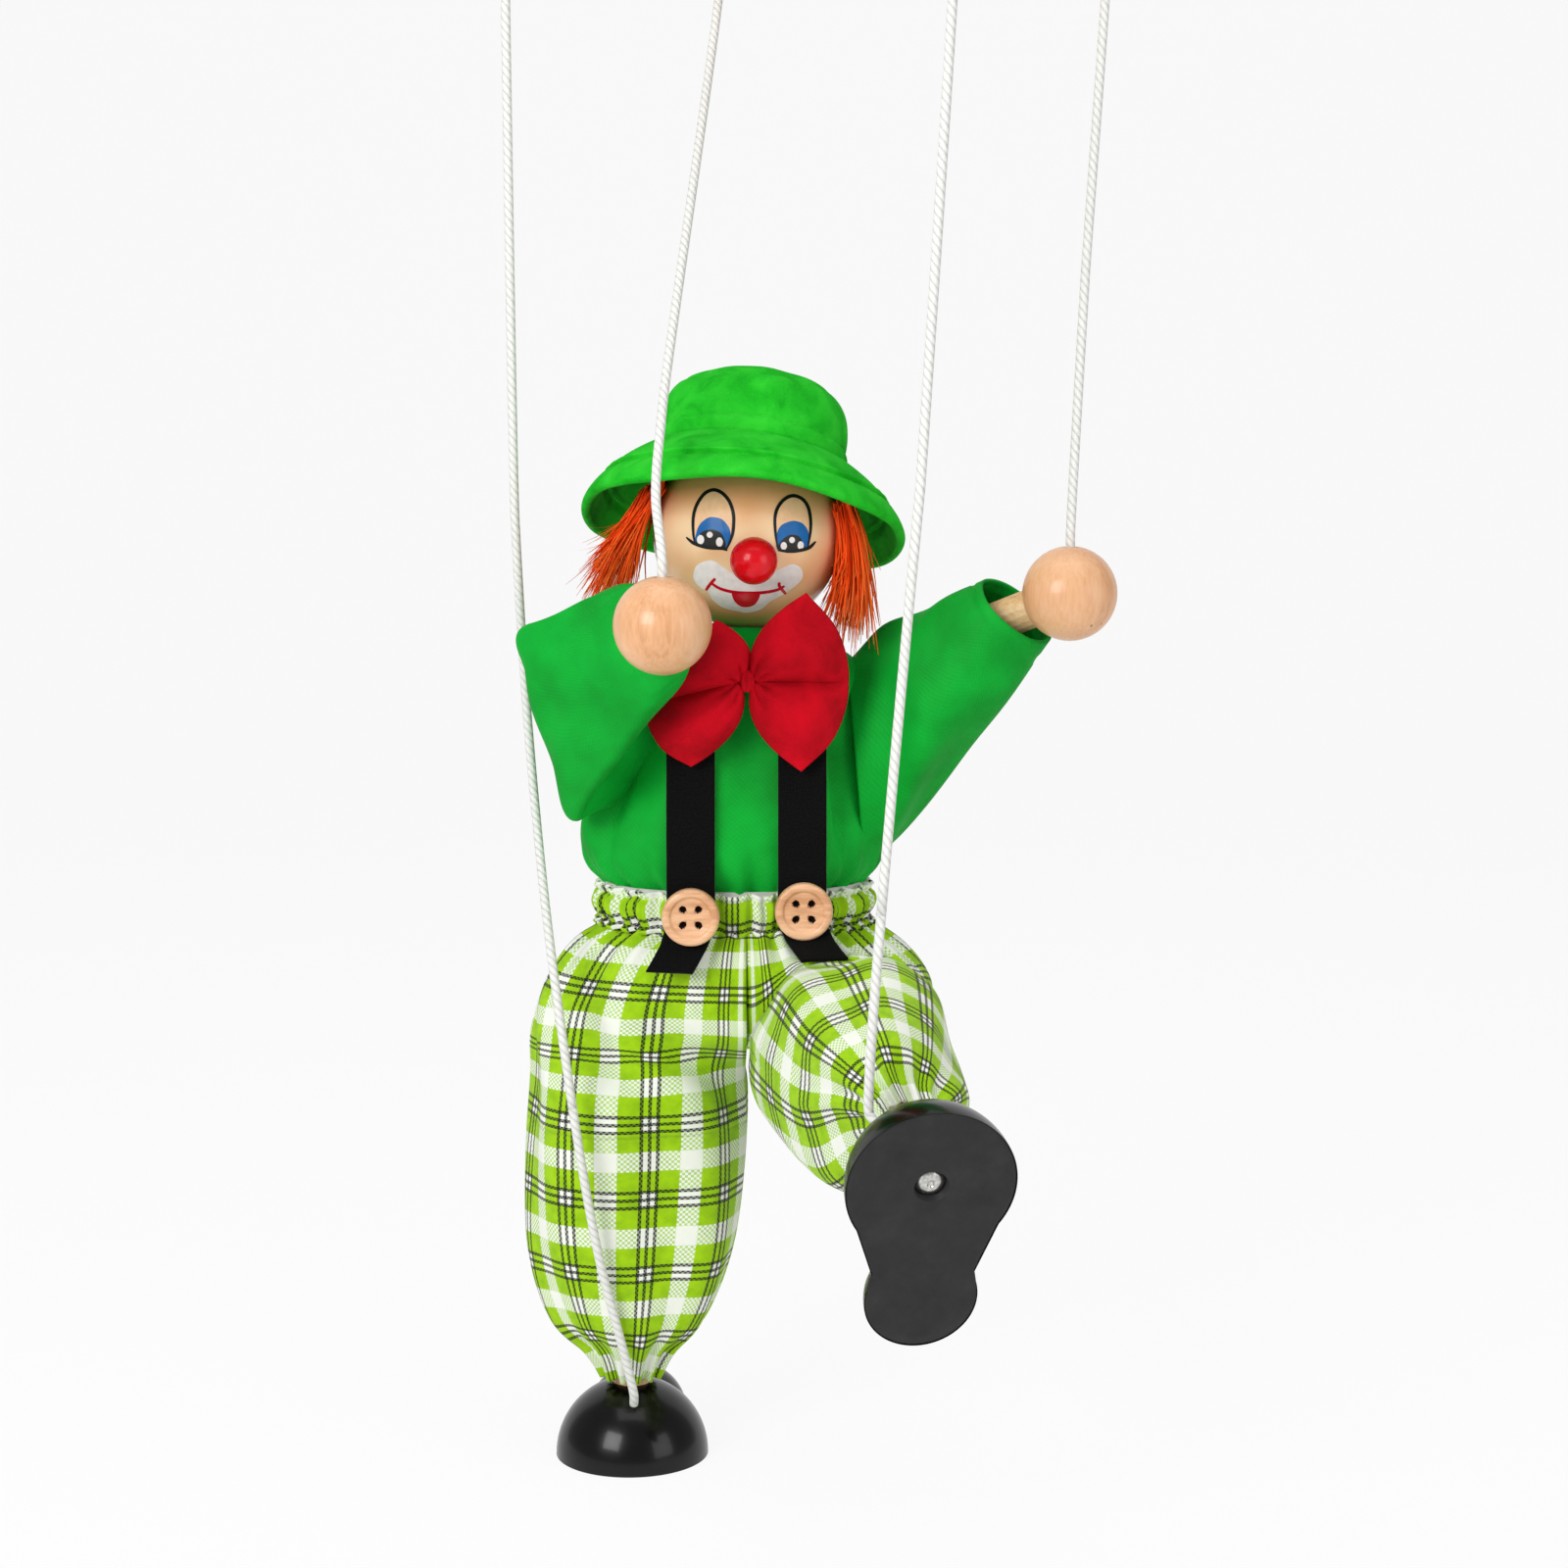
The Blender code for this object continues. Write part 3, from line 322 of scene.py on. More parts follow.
def paint(name, colour, roughness, coat):   # brushed paint: even colour, a clear coat and slight orange peel
    deep = "#%02X%02X%02X" % tuple(int(int(colour[i:i + 2], 16) * 0.95) for i in (1, 3, 5))
    return mottled(name, {"Roughness": roughness, "Specular IOR Level": 0.22, "Coat Weight": coat,
                          "Coat Roughness": 0.1},
                   dict(Scale=650.0, Detail=2.0), ((0.3, deep), (0.7, colour)), 0.08, 0.00008)


def felt(name, light, mid, dark, patch, sheen):   # pressed felt: matt nap, rubbed patches in mm and fine fibres
    made, tree = finish(name, {"Roughness": 0.92, "Specular IOR Level": 0.15, "Sheen Weight": sheen,
                               "Sheen Roughness": 0.45, "Sheen Tint": linear(light)})
    spot = add(tree, "TexCoord").outputs["Object"]
    rub = add(tree, "TexNoise", Vector=spot, Scale=1000.0 / patch, Detail=3.0, Distortion=0.6)
    fibre = add(tree, "TexNoise", Vector=spot, Scale=2500.0, Detail=5.0, Roughness=0.7)
    both = add(tree, "Math", fibre, 0.3, operation="MULTIPLY")
    both = add(tree, "Math", rub, 0.75, both, operation="MULTIPLY_ADD")
    return coated(made, add(tree, "ValToRGB", both, stops=((0.36, dark), (0.5, mid), (0.68, light))),
                  fibre, 0.35, 0.0003)


def weave(tree, pitch):                  # plain weave: the product of sines both ways, from the cloth's own mm
    cloth = add(tree, "UVMap", uv_map="cloth")
    way = add(tree, "SeparateXYZ", cloth)
    turns = [add(tree, "Math", way.outputs[axis], math.pi / pitch, operation="MULTIPLY") for axis in (0, 1)]
    over = add(tree, "Math", *(add(tree, "Math", turn, operation="SINE") for turn in turns), operation="MULTIPLY")
    return cloth, way, over


# Dyed polyester cotton: saturated green with a soft sheen; threads drawn at 0.5 mm so that they show.
def greenCloth():                        # the weave a little over a cloudy tint
    made, tree = finish("woven green shirt cloth", {"Roughness": 0.66, "Specular IOR Level": 0.16,
                                                    "Sheen Weight": 0.08, "Sheen Roughness": 0.4,
                                                    "Sheen Tint": linear("#7CF08C")})
    _, _, over = weave(tree, 0.5)
    cloud = add(tree, "TexNoise", Vector=add(tree, "TexCoord").outputs["Object"], Scale=70.0, Detail=3.0)
    part = add(tree, "Math", over, 0.06, cloud, operation="MULTIPLY_ADD")
    tint = add(tree, "ValToRGB", part, stops=((0.3, "#009026"), (0.5, "#00A22E"), (0.72, "#02B236")))
    return coated(made, tint, over, 0.18, 0.0001)


# Cut velvet ribbon: deep black pile that catches light only at a grazing angle.
def blackVelvet():                       # noise along the ribbon as pile
    made, tree = finish("black velvet ribbon", {"Roughness": 0.95, "Specular IOR Level": 0.1,
                                                "Sheen Weight": 0.12, "Sheen Roughness": 0.3})
    pile = add(tree, "TexNoise", Vector=add(tree, "UVMap", uv_map="cloth"), Scale=3.0, Detail=4.0)
    return coated(made, add(tree, "ValToRGB", pile, stops=((0.3, "#020202"), (0.75, "#151515"))), pile, 0.3, 0.0002)


# Twisted cotton cord: three soft strands, a strand passing every 1.8 mm, with painted shade, light grey, in the
# shallow grooves between them.
twist = dict(strands=3.0, girth=5.97, spacing=1.8)


def twistedCord():                       # the size of a sine along the cord that leans by the strands round it
    made, tree = finish("white twisted cotton cord", {"Roughness": 0.75, "Specular IOR Level": 0.2})
    way = add(tree, "SeparateXYZ", add(tree, "UVMap", uv_map="cloth"))
    part = add(tree, "Math", way.outputs[0], twist["strands"] * math.pi / twist["girth"], operation="MULTIPLY")
    turn = add(tree, "Math", way.outputs[1], math.pi / twist["spacing"], part, operation="MULTIPLY_ADD")
    strand = add(tree, "Math", add(tree, "Math", turn, operation="SINE"), operation="ABSOLUTE")
    # painted shade: the ramp greys the cord where the strand wave is low, in the grooves
    tint = add(tree, "ValToRGB", strand, stops=((0.0, "#C9C9C5"), (0.4, "#E2E2DE"), (1.0, "#EDEDE9")))
    return coated(made, tint, strand, 0.35, 0.0004)


# Cotton plaid, woven from lime, white and black yarns. Each way repeats in 16.5 mm: three black lines 1.65 mm
# apart, and a 4.2 mm white band midway. Where two white yarns cross it is white, where one does it is mottled by
# the weave, which is drawn at 0.55 mm so that it shows.
plaidFacts = dict(repeat=16.5, lineGap=1.65, lineHalf=0.36, bandHalf=2.1, pitch=0.55, speckle=0.8, haze=0.22,
                  lineBase=0.6, lineDots=0.38, lime="#A2D20A", deepLime="#8DBE06", white="#F1F4EA", black="#0C100A")


def limePlaid():                         # bands and lines by distance from the repeat's middle, one way over the other
    facts = plaidFacts
    half = facts["repeat"] / 2.0
    made, tree = finish("lime plaid woven cotton", {"Roughness": 0.8, "Specular IOR Level": 0.2,
                                                    "Sheen Weight": 0.12})
    cloth, way, over = weave(tree, facts["pitch"])
    # a thread shows on top where the weave wave is high for the first way, low for the second
    top = add(tree, "Math", over, 0.0, operation="GREATER_THAN")
    under = add(tree, "Math", 1.0, top, operation="SUBTRACT")
    bands, pale, speckle, lines = [], [], [], []
    for axis, turn in enumerate((top, under)):
        place = add(tree, "Math", way.outputs[axis], half, operation="PINGPONG")
        middle = add(tree, "Math", place, facts["lineHalf"], operation="LESS_THAN")
        outer = add(tree, "Math", place, facts["lineGap"], facts["lineHalf"], operation="COMPARE")
        black = add(tree, "Math", middle, outer, operation="MAXIMUM")
        among = add(tree, "Math", place, facts["lineGap"], operation="LESS_THAN")
        dotted = add(tree, "Math", turn, facts["lineDots"], facts["lineBase"], operation="MULTIPLY_ADD")
        bands.append(add(tree, "Math", place, half - facts["bandHalf"], operation="GREATER_THAN"))
        pale.append(add(tree, "Math", bands[-1], among, operation="MAXIMUM"))
        speckle.append(add(tree, "Math", bands[-1], turn, operation="MULTIPLY"))
        lines.append(add(tree, "Math", black, dotted, operation="MULTIPLY"))
    some = add(tree, "Math", *speckle, operation="MAXIMUM")
    some = add(tree, "Math", some, facts["speckle"], operation="MULTIPLY")
    haze = add(tree, "Math", *bands, operation="MAXIMUM")
    haze = add(tree, "Math", haze, facts["haze"], some, operation="MULTIPLY_ADD")
    both = add(tree, "Math", *pale, operation="MULTIPLY")
    white = add(tree, "Math", haze, both, operation="MAXIMUM", use_clamp=True)
    drawn = add(tree, "Math", *lines, operation="MAXIMUM")
    cloud = add(tree, "TexNoise", Vector=cloth, Scale=0.35, Detail=3.0)
    tint = add(tree, "ValToRGB", cloud, stops=((0.3, facts["deepLime"]), (0.62, facts["lime"])))
    tint = add(tree, "Mix", white, tint, linear(facts["white"]), data_type="RGBA")
    tint = add(tree, "Mix", drawn, tint, linear(facts["black"]), data_type="RGBA")
    return coated(made, tint, over, 0.2, 0.0001)


# Acrylic fibre hair: red-orange, paler to the tips; u tells the strands apart, v runs root to tip.
def hairFibre():                         # tone of the strand plus a share of the way along it, to a ramp
    made, tree = finish("orange acrylic fibre", {"Roughness": 0.6, "Specular IOR Level": 0.15})
    way = add(tree, "SeparateXYZ", add(tree, "UVMap", uv_map="cloth"))
    mixed = add(tree, "Math", way.outputs[1], 0.45, way.outputs[0], operation="MULTIPLY_ADD")
    return coated(made, add(tree, "ValToRGB", mixed, stops=((0.0, "#EE3C02"), (0.4, "#FF4E06"), (0.8, "#FF6A1E"),
                                                            (1.0, "#FF8E50"))))


# Knitted elastic: white ribs round the waist, with painted shade, light grey, in the hollows between them.
def ribbedElastic():                     # a wave in height is both the rib and the painted shade in its hollows
    made, tree = finish("white knitted elastic", {"Roughness": 0.8, "Specular IOR Level": 0.2})
    rib = add(tree, "TexWave", bands_direction="Z", Vector=add(tree, "TexCoord").outputs["Object"],
              Scale=160.0).outputs["Fac"]
    return coated(made, add(tree, "ValToRGB", rib, stops=((0.2, "#CFCFCB"), (0.8, "#F2F2EE"))), rib, 0.5, 0.0003)


# Steel is zinc plated and finely turned. The soles are the black of the feet, rolled on thin and rubbed grey.
looks = dict(cord=twistedCord(), shirt=greenCloth(), plaid=limePlaid(), velvet=blackVelvet(), hair=hairFibre(),
             steel=mottled("zinc plated steel, turned", {"Metallic": 1.0, "Roughness": 0.3},
                           dict(Scale=1800.0, Detail=2.0), ((0.3, "#A9A9A6"), (0.7, "#DCDAD5")), 0.1, 0.00005),
             elastic=ribbedElastic(),
             sole=mottled("thin black paint, rubbed matt", {"Roughness": 0.55, "Specular IOR Level": 0.3},
                          dict(Scale=160.0, Detail=6.0, Roughness=0.7),
                          ((0.3, "#1E1E1E"), (0.55, "#262626"), (0.8, "#31302F")), 0.15, 0.0001),
             skin=skinLacquer(),
             hat=felt("green wool felt, pressed", "#31CC30", "#1FBC24", "#10A41A", 6.5, 0.12),
             bow=felt("red craft felt", "#D8051F", "#C4031A", "#A80112", 9.0, 0.1),
             beechX=beech("beech, planed along x", "raw", "x"), beechY=beech("beech, planed along y", "raw", "y"),
             beechZ=beech("beech, turned", "raw", "z"), ball=beech("lacquered beech ball", "ball", "z"),
             button=beech("turned maple button", "maple", "x"),
             nose=paint("red gloss lacquer", "#E4041A", 0.26, 0.2),
             shoe=paint("black gloss lacquer", "#040404", 0.26, 0.2),
             lid=paint("cream eyelid paint", "#FFCB9E", 0.45, 0.15),
             white=paint("white face paint", "#FBF2F0", 0.45, 0.15),
             black=paint("black face paint", "#101010", 0.45, 0.15),
             blue=paint("blue face paint", "#0068B4", 0.45, 0.15),
             red=paint("red face paint", "#D40A22", 0.3, 0.5),
             pupil=paint("dark pupil paint", "#20201E", 0.45, 0.15),
             # inside is painted shade: near-black for the depths of the button holes
             inside=paint("painted hole shade", "#160C06", 0.9, 0.0))
print("finishes mixed:", len(looks))


# Four cords, 1.9 mm: each leaves its hole in the control and ends in a hole in a hand or a toe.
# The routes are those of the solids. A foot cord crosses two joints, so it is cut where the thigh carries it.
cords = dict(
    radius=0.95, knotReach=2.35, knotCord=0.8, knotFlat=0.95, knotLift=2.1,
    routes=dict(
        left_foot=((-49.3, -8, 340.7), (-49.3, -8, 329.2), (-48.8, -4, 200), (-46.5, 1, 150),
                   (-39, -26, 100), (-30.5, -28.5, 46), (-24.05, -22.43, 15.74), (-24.2, -20.77, 13.24),
                   (-24.3, -19.72, 11.66)),
        left_hand=((-5, 42, 340.7), (-5, 42, 329.2), (-16.6, -32, 224), (-17.5, -44, 206),
                   (-16, -52, 194.25), (-16, -52, 191.25), (-16, -52, 189.35)),
        right_foot=((41, -58, 340.7), (41, -58, 329.2), (33.5, -72, 210), (23.95, -85.01, 91.93),
                    (25.75, -86.59, 90.14), (26.89, -87.6, 89)),
        right_hand=((74.6, -8, 340.7), (74.6, -8, 329.2), (69.5, -15, 250), (66.5, -22, 198.55),
                    (66.5, -22, 195.55), (66.5, -22, 193.65))),
    lay=dict(left_foot="hanging", left_hand="taut", right_foot="taut", right_hand="taut"),
    # body, height where the bend starts and ends; then where the cord is cut, the next body and its bend
    bends=dict(left_hand=("arm_left", 250, 192), right_hand=("arm_right", 270, 199),
               left_foot=("thigh_left", 200, 84, 80, "shank_left", 74, 40),
               right_foot=("thigh_right", 290, 140, 136, "shank_right", 121, 94)))


def routed(points, steps=24):            # Hermite curve through the route, the shorter span leading at each point
    p = np.asarray(points, float)
    span = np.diff(p, axis=0)
    size = np.linalg.norm(span, axis=1, keepdims=True)
    pull = span / size ** 2
    heads = unit(np.concatenate([span[:1], pull[:-1] + pull[1:], span[-1:]]))
    before, after = np.concatenate([size[:1], size[:-1]]), np.concatenate([size[1:], size[-1:]])
    bend = np.minimum(size, 3.0 * np.minimum(size, np.minimum(before, after)))[:, None]
    t = (np.arange(steps) / steps)[None, :, None]
    line = (p[:-1, None] * (1 - t) ** 2 * (1 + 2 * t) + heads[:-1, None] * bend * t * (1 - t) ** 2
            + p[1:, None] * t ** 2 * (3 - 2 * t) - heads[1:, None] * bend * t ** 2 * (1 - t))
    return np.concatenate([line.reshape(-1, 3), p[-1:]])


def addCords():                          # a tube along each route under a stop knot, a trefoil pulled tight
    turn = np.linspace(0.0, tau, 91)[:-1]
    loop = np.stack([np.sin(turn) + 2.0 * np.sin(2.0 * turn), np.cos(turn) - 2.0 * np.cos(2.0 * turn),
                     -cords["knotFlat"] * np.sin(3.0 * turn)], axis=1) / 3.0
    loop = np.concatenate([loop, loop[:1]]) * (cords["knotReach"] - cords["knotCord"])
    for name, route in cords["routes"].items():
        path = routed(route)
        knot = tube("stop_knot_" + name, loop + np.array(route[0]) + (0.0, 0.0, cords["knotLift"]),
                    cords["knotCord"], looks["cord"], 8, (0.31, 0.17, 0.94), False)
        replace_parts(knot, "knot_" + name)
        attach(knot, "control")
        body, high, low, *below = cords["bends"][name]
        cut = int(np.argmax(path[:, 2] < below[0])) if below else len(path) - 1
        upper = path[:cut + 1]
        cord = tube("cord_" + name, upper, cords["radius"], looks["cord"])
        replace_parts(cord, "string_" + name)
        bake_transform(cord)
        if below:
            lower = path[cut:]
            tail = tube("cord_%s_end" % name, lower, cords["radius"], looks["cord"])
            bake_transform(tail)
    print("cords strung")


addCords()


# A turned piece: the profile's radius and height swung round an axis.
def turned(name, centre, axis, profile, look, around=96):
    axis = unit(np.array(axis, float))
    side = unit(np.cross(axis, (0.0, 1.0, 0.0) if abs(axis[1]) < 0.8 else (1.0, 0.0, 0.0)))
    third = np.cross(axis, side)
    turn = circle(around)
    ring = side * np.cos(turn)[:, None] + third * np.sin(turn)[:, None]
    points = np.array(centre) + profile[:, :1, None] * ring[None] + profile[:, 1:, None] * axis
    uv = grid(np.arange(around + 1) / around * tau, lengths(profile)[:, None])
    return surface(name, points, look, True, uv)


def sphere(name, centre, radius, look, around, up):   # a turned half circle, from pole to pole
    polar = np.linspace(0.0, math.pi, up)
    return turned(name, centre, (0.0, 0.0, 1.0), grid(radius * np.sin(polar), radius * np.cos(polar)), look, around)


# The head is a 40 mm ball; its features are paint on it, given as mm right and up of its middle. Lifts are how far
# each coat lies off the ball, in mm.
head = dict(centre=(0, 0, 197.4), radius=20, nose=(1.6, -22, 193), noseRadius=4.9,
            toViewer=(0.012, -0.9988, 0.047), outline=0.72, smile=0.66)
lifts = dict(lids=0.02, muzzle=0.03, blue=0.04, pupils=0.06, tongue=0.06, smile=0.07, glints=0.08, lines=0.09)
marks = dict(
    eyes=(((-10.7, -2.2), (-11.1, 0.2), (-11.1, 3.4), (-10.4, 6), (-8.8, 8.3), (-6.9, 9.1), (-5.1, 8.4),
           (-3.6, 6.6), (-2.8, 3.9), (-2.9, 0.7), (-3.5, -1.4), (-4.3, -3.1)),
          ((6.3, -3.1), (5.8, 0.2), (5.7, 3.4), (6.3, 5.5), (7.7, 7.2), (9.5, 7.9), (11.4, 7.2), (12.6, 5.5),
           (13.1, 2.8), (13, 0.2), (12.5, -2.7))),
    lashes=(((-12.6, -0.6), (-10.9, -1.9), (-8.2, -2.7), (-5.1, -2.9), (-4.1, -3.3)),
            ((6.3, -3.3), (9.3, -3.5), (12.5, -2.9), (14.2, -1.5))),
    blues=(((-10.7, -2.2), (-10.6, -0.1), (-9.8, 2), (-8.2, 3.3), (-6.9, 3.5), (-5.1, 3), (-3.7, 1.3),
            (-3.4, -0.6), (-3.9, -2.5), (-5.1, -2.9), (-8.2, -2.7)),
           ((6.3, -3.1), (6, -0.3), (6.9, 1.7), (8.7, 2.6), (10.1, 2.7), (11.7, 2), (12.7, 0.2),
            (12.6, -2.5), (12.2, -3), (9.3, -3.5))),
    pupils=(((-10.5, -2.2), (-10.2, -0.6), (-9.2, 0.5), (-7.4, 1), (-5.6, 0.4), (-4.6, -1.1), (-4.5, -2.8),
             (-6.1, -2.9), (-8.2, -2.7)),
            ((6.5, -3.1), (6.7, -1.8), (7.6, -0.8), (9, -0.1), (10.6, -0.4), (11.5, -1.7), (11.8, -3.1),
             (9.3, -3.4))),
    dots=((-7.7, -0.1, 0.62, 0.62), (-9.6, -1.1, 0.75, 0.95), (-5.7, -1.6, 0.7, 0.95), (9.2, -1.2, 0.6, 0.62),
          (7.5, -2.4, 0.65, 0.8), (11, -2.3, 0.65, 0.85)),
    muzzle=((-8.2, -5.4), (-10.4, -6.4), (-11.2, -8.6), (-10.4, -10.4), (-8.2, -12), (-7.2, -13.6), (-5.1, -15.2),
            (-1.9, -16), (0.2, -16.3), (2.9, -15.5), (4.8, -13.9), (7.7, -12.3), (10.3, -10.4), (11.5, -8.8),
            (11.1, -7), (9.5, -6.2), (7.9, -6.7), (6.3, -8.3), (4.5, -9.9), (1.8, -10.7), (-0.8, -10.4),
            (-3.5, -9.1), (-5.6, -6.4), (-6.9, -5.5)),
    smiles=(((-7.7, -9.9), (-5.6, -11.2), (-2.9, -11.9), (0.2, -12.1), (3.4, -12), (6.1, -11.5), (7.7, -10.7)),
            ((-8.6, -11.6), (-7.6, -10.2), (-6.6, -9.1)), ((6.6, -9.9), (6.7, -10.8), (8, -12.4))),
    tongue=((-3.2, -11.9), (-2.8, -13.6), (-1.6, -14.8), (-0.3, -15.1), (1.3, -14.7), (2.3, -13.5), (2.5, -12.1),
            (0.2, -12.2), (-1.9, -12.1)))


def onHead(flat, lift):                  # mm right and up, as the viewer sees them, to the ball's surface
    front = np.array(head["toViewer"])
    up = unit(np.array((0.0, 0.0, 1.0)) - front * front[2])
    right = np.cross(up, front)
    deep = np.sqrt(np.maximum(head["radius"] ** 2 - (flat ** 2).sum(-1, keepdims=True), 1.0))
    points = flat[..., :1] * right + flat[..., 1:] * up + deep * front
    return np.array(head["centre"]) + unit(points) * (head["radius"] + lift)


def closedCurve(corners, steps=8):       # a smooth loop through the corners
    c = np.array(corners, float)
    return through(np.concatenate([c[-2:], c, c[:3]]), steps)[2 * steps:(len(c) + 2) * steps + 1]


def patch(corners, lift, steps=8):       # a filled loop: its edge drawn in to its middle
    edge = closedCurve(corners, steps)
    middle = edge.mean(0)
    share = np.linspace(0.0, 1.0, 9)[:, None, None]
    return onHead(middle + (edge - middle) * share, lift)


def stroke(line, width, lift, taper=0.6):   # a brush line: the path widened square to itself, thinner at its ends
    path = through(line, 8)
    ahead = unit(np.gradient(path, axis=0))
    square = np.stack([-ahead[:, 1], ahead[:, 0]], axis=1)
    press = 1.0 - taper * np.abs(np.linspace(-1.0, 1.0, len(path))) ** 4
    side = np.array((-0.5, 0.0, 0.5))[None, :, None] * width * press[:, None, None]
    return onHead(path[:, None] + square[:, None] * side, lift)


def painted(name, grids, look):          # several open grids as one painted piece, facing out of the head
    verts, faces, count = [], [], 0
    for one in grids:
        rows, cols = one.shape[:2]
        i, j = (x.ravel() for x in np.mgrid[0:rows - 1, 0:cols - 1])
        quads = np.stack([i * cols + j, (i + 1) * cols + j, (i + 1) * cols + j + 1, i * cols + j + 1], axis=1)
        flat = one.reshape(-1, 3)
        a, b, c = (flat[quads[:, k]] for k in (1, 2, 3))
        facing = (np.cross(b - a, c - a) * (a - np.array(head["centre"]))).sum()
        faces.append((quads if facing > 0.0 else quads[:, ::-1]) + count)
        verts.append(flat)
        count += len(flat)
    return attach(linked(name, np.concatenate(verts), np.concatenate(faces), look), "head")


def addHead():                           # ball and nose, then each coat of paint over the one before
    ball = sphere("head_turned", head["centre"], head["radius"], looks["skin"], 128, 96)
    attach(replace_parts(ball, "head_ball"), "head")
    nose = sphere("nose_ball", head["nose"], head["noseRadius"], looks["nose"], 64, 40)
    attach(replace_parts(nose, "nose"), "head")
    ring = np.linspace(0.0, tau, 17)[:-1]
    dots = [grid(x + rx * np.cos(ring), y + ry * np.sin(ring)) for x, y, rx, ry in marks["dots"]]
    painted("paint_lids", [patch(e, lifts["lids"]) for e in marks["eyes"]], looks["lid"])
    painted("paint_muzzle", [patch(marks["muzzle"], lifts["muzzle"])], looks["white"])
    painted("paint_blue", [patch(b, lifts["blue"]) for b in marks["blues"]], looks["blue"])
    painted("paint_pupils", [patch(p, lifts["pupils"]) for p in marks["pupils"]], looks["pupil"])
    painted("paint_glints", [patch(d, lifts["glints"], 3) for d in dots], looks["white"])
    painted("paint_lines", [stroke(e, head["outline"], lifts["lines"]) for e in marks["eyes"] + marks["lashes"]],
            looks["black"])
    painted("paint_mouth", [stroke(s, head["smile"], lifts["smile"], 0.3) for s in marks["smiles"]]
            + [patch(marks["tongue"], lifts["tongue"])], looks["red"])
    print("head painted")


addHead()


# Felt hat pushed back on the head: a domed crown with a top seam and a folded band, and a sloping brim with a sewn
# flange. Radius and height are in the hat's own axes, from the middle of the brim's edge. Waves are rows of depth,
# count, lean and phase.
hat = dict(edgeHeight=1.7, tilt=(-19, 6.5), left=1.2, halfThick=1, brimSeam=30, topSeam=29.2, band=17.6,
           crown=((19.9, 6.2), (19.9, 12.6), (20.1, 13.8), (20.55, 14.8), (20.6, 16.4), (20.3, 17.3), (19.85, 17.7),
                  (20, 18.5), (20, 20.6), (19.6, 23), (18.9, 25.4), (17.8, 27.5), (16.2, 29.2), (13.5, 31),
                  (10, 32.2), (5, 33), (0, 33.2)),
           brim=((20.3, 13.6), (22, 12.7), (24.4, 11.1), (27.2, 8.9), (29.6, 6.6), (31.2, 4.9), (32.6, 3.2),
                 (33.6, 1.6), (34.1, 0.3)),
           dents=((0.4, 2, 0, 0.6), (0.25, 5, 0, 2), (0.16, 9, 0, 0)),
           dentsFrom=(17.5, 26), seamDeep=0.6, seamHalf=0.45, bandLift=0.5, bandHalf=1.6,
           brimWaves=((0.5, 5, 0, 1), (0.4, 3, 0, 2.2)), droop=dict(left=2.2, right=0.9), spread=0.3,
           flange=0.78, lip=0.3, stitches=46, stitchDeep=0.05, roundFrom=0.93)


def onHat(local):                        # from the hat's own axes to mm over the floor
    a, b = (math.radians(x) for x in hat["tilt"])
    lean = np.array(((1, 0, 0), (0, math.cos(a), -math.sin(a)), (0, math.sin(a), math.cos(a))))
    roll = np.array(((math.cos(b), 0, math.sin(b)), (0, 1, 0), (-math.sin(b), 0, math.cos(b))))
    return np.array(head["centre"]) + (local + (-hat["left"], 0.0, hat["edgeHeight"])) @ (lean @ roll).T


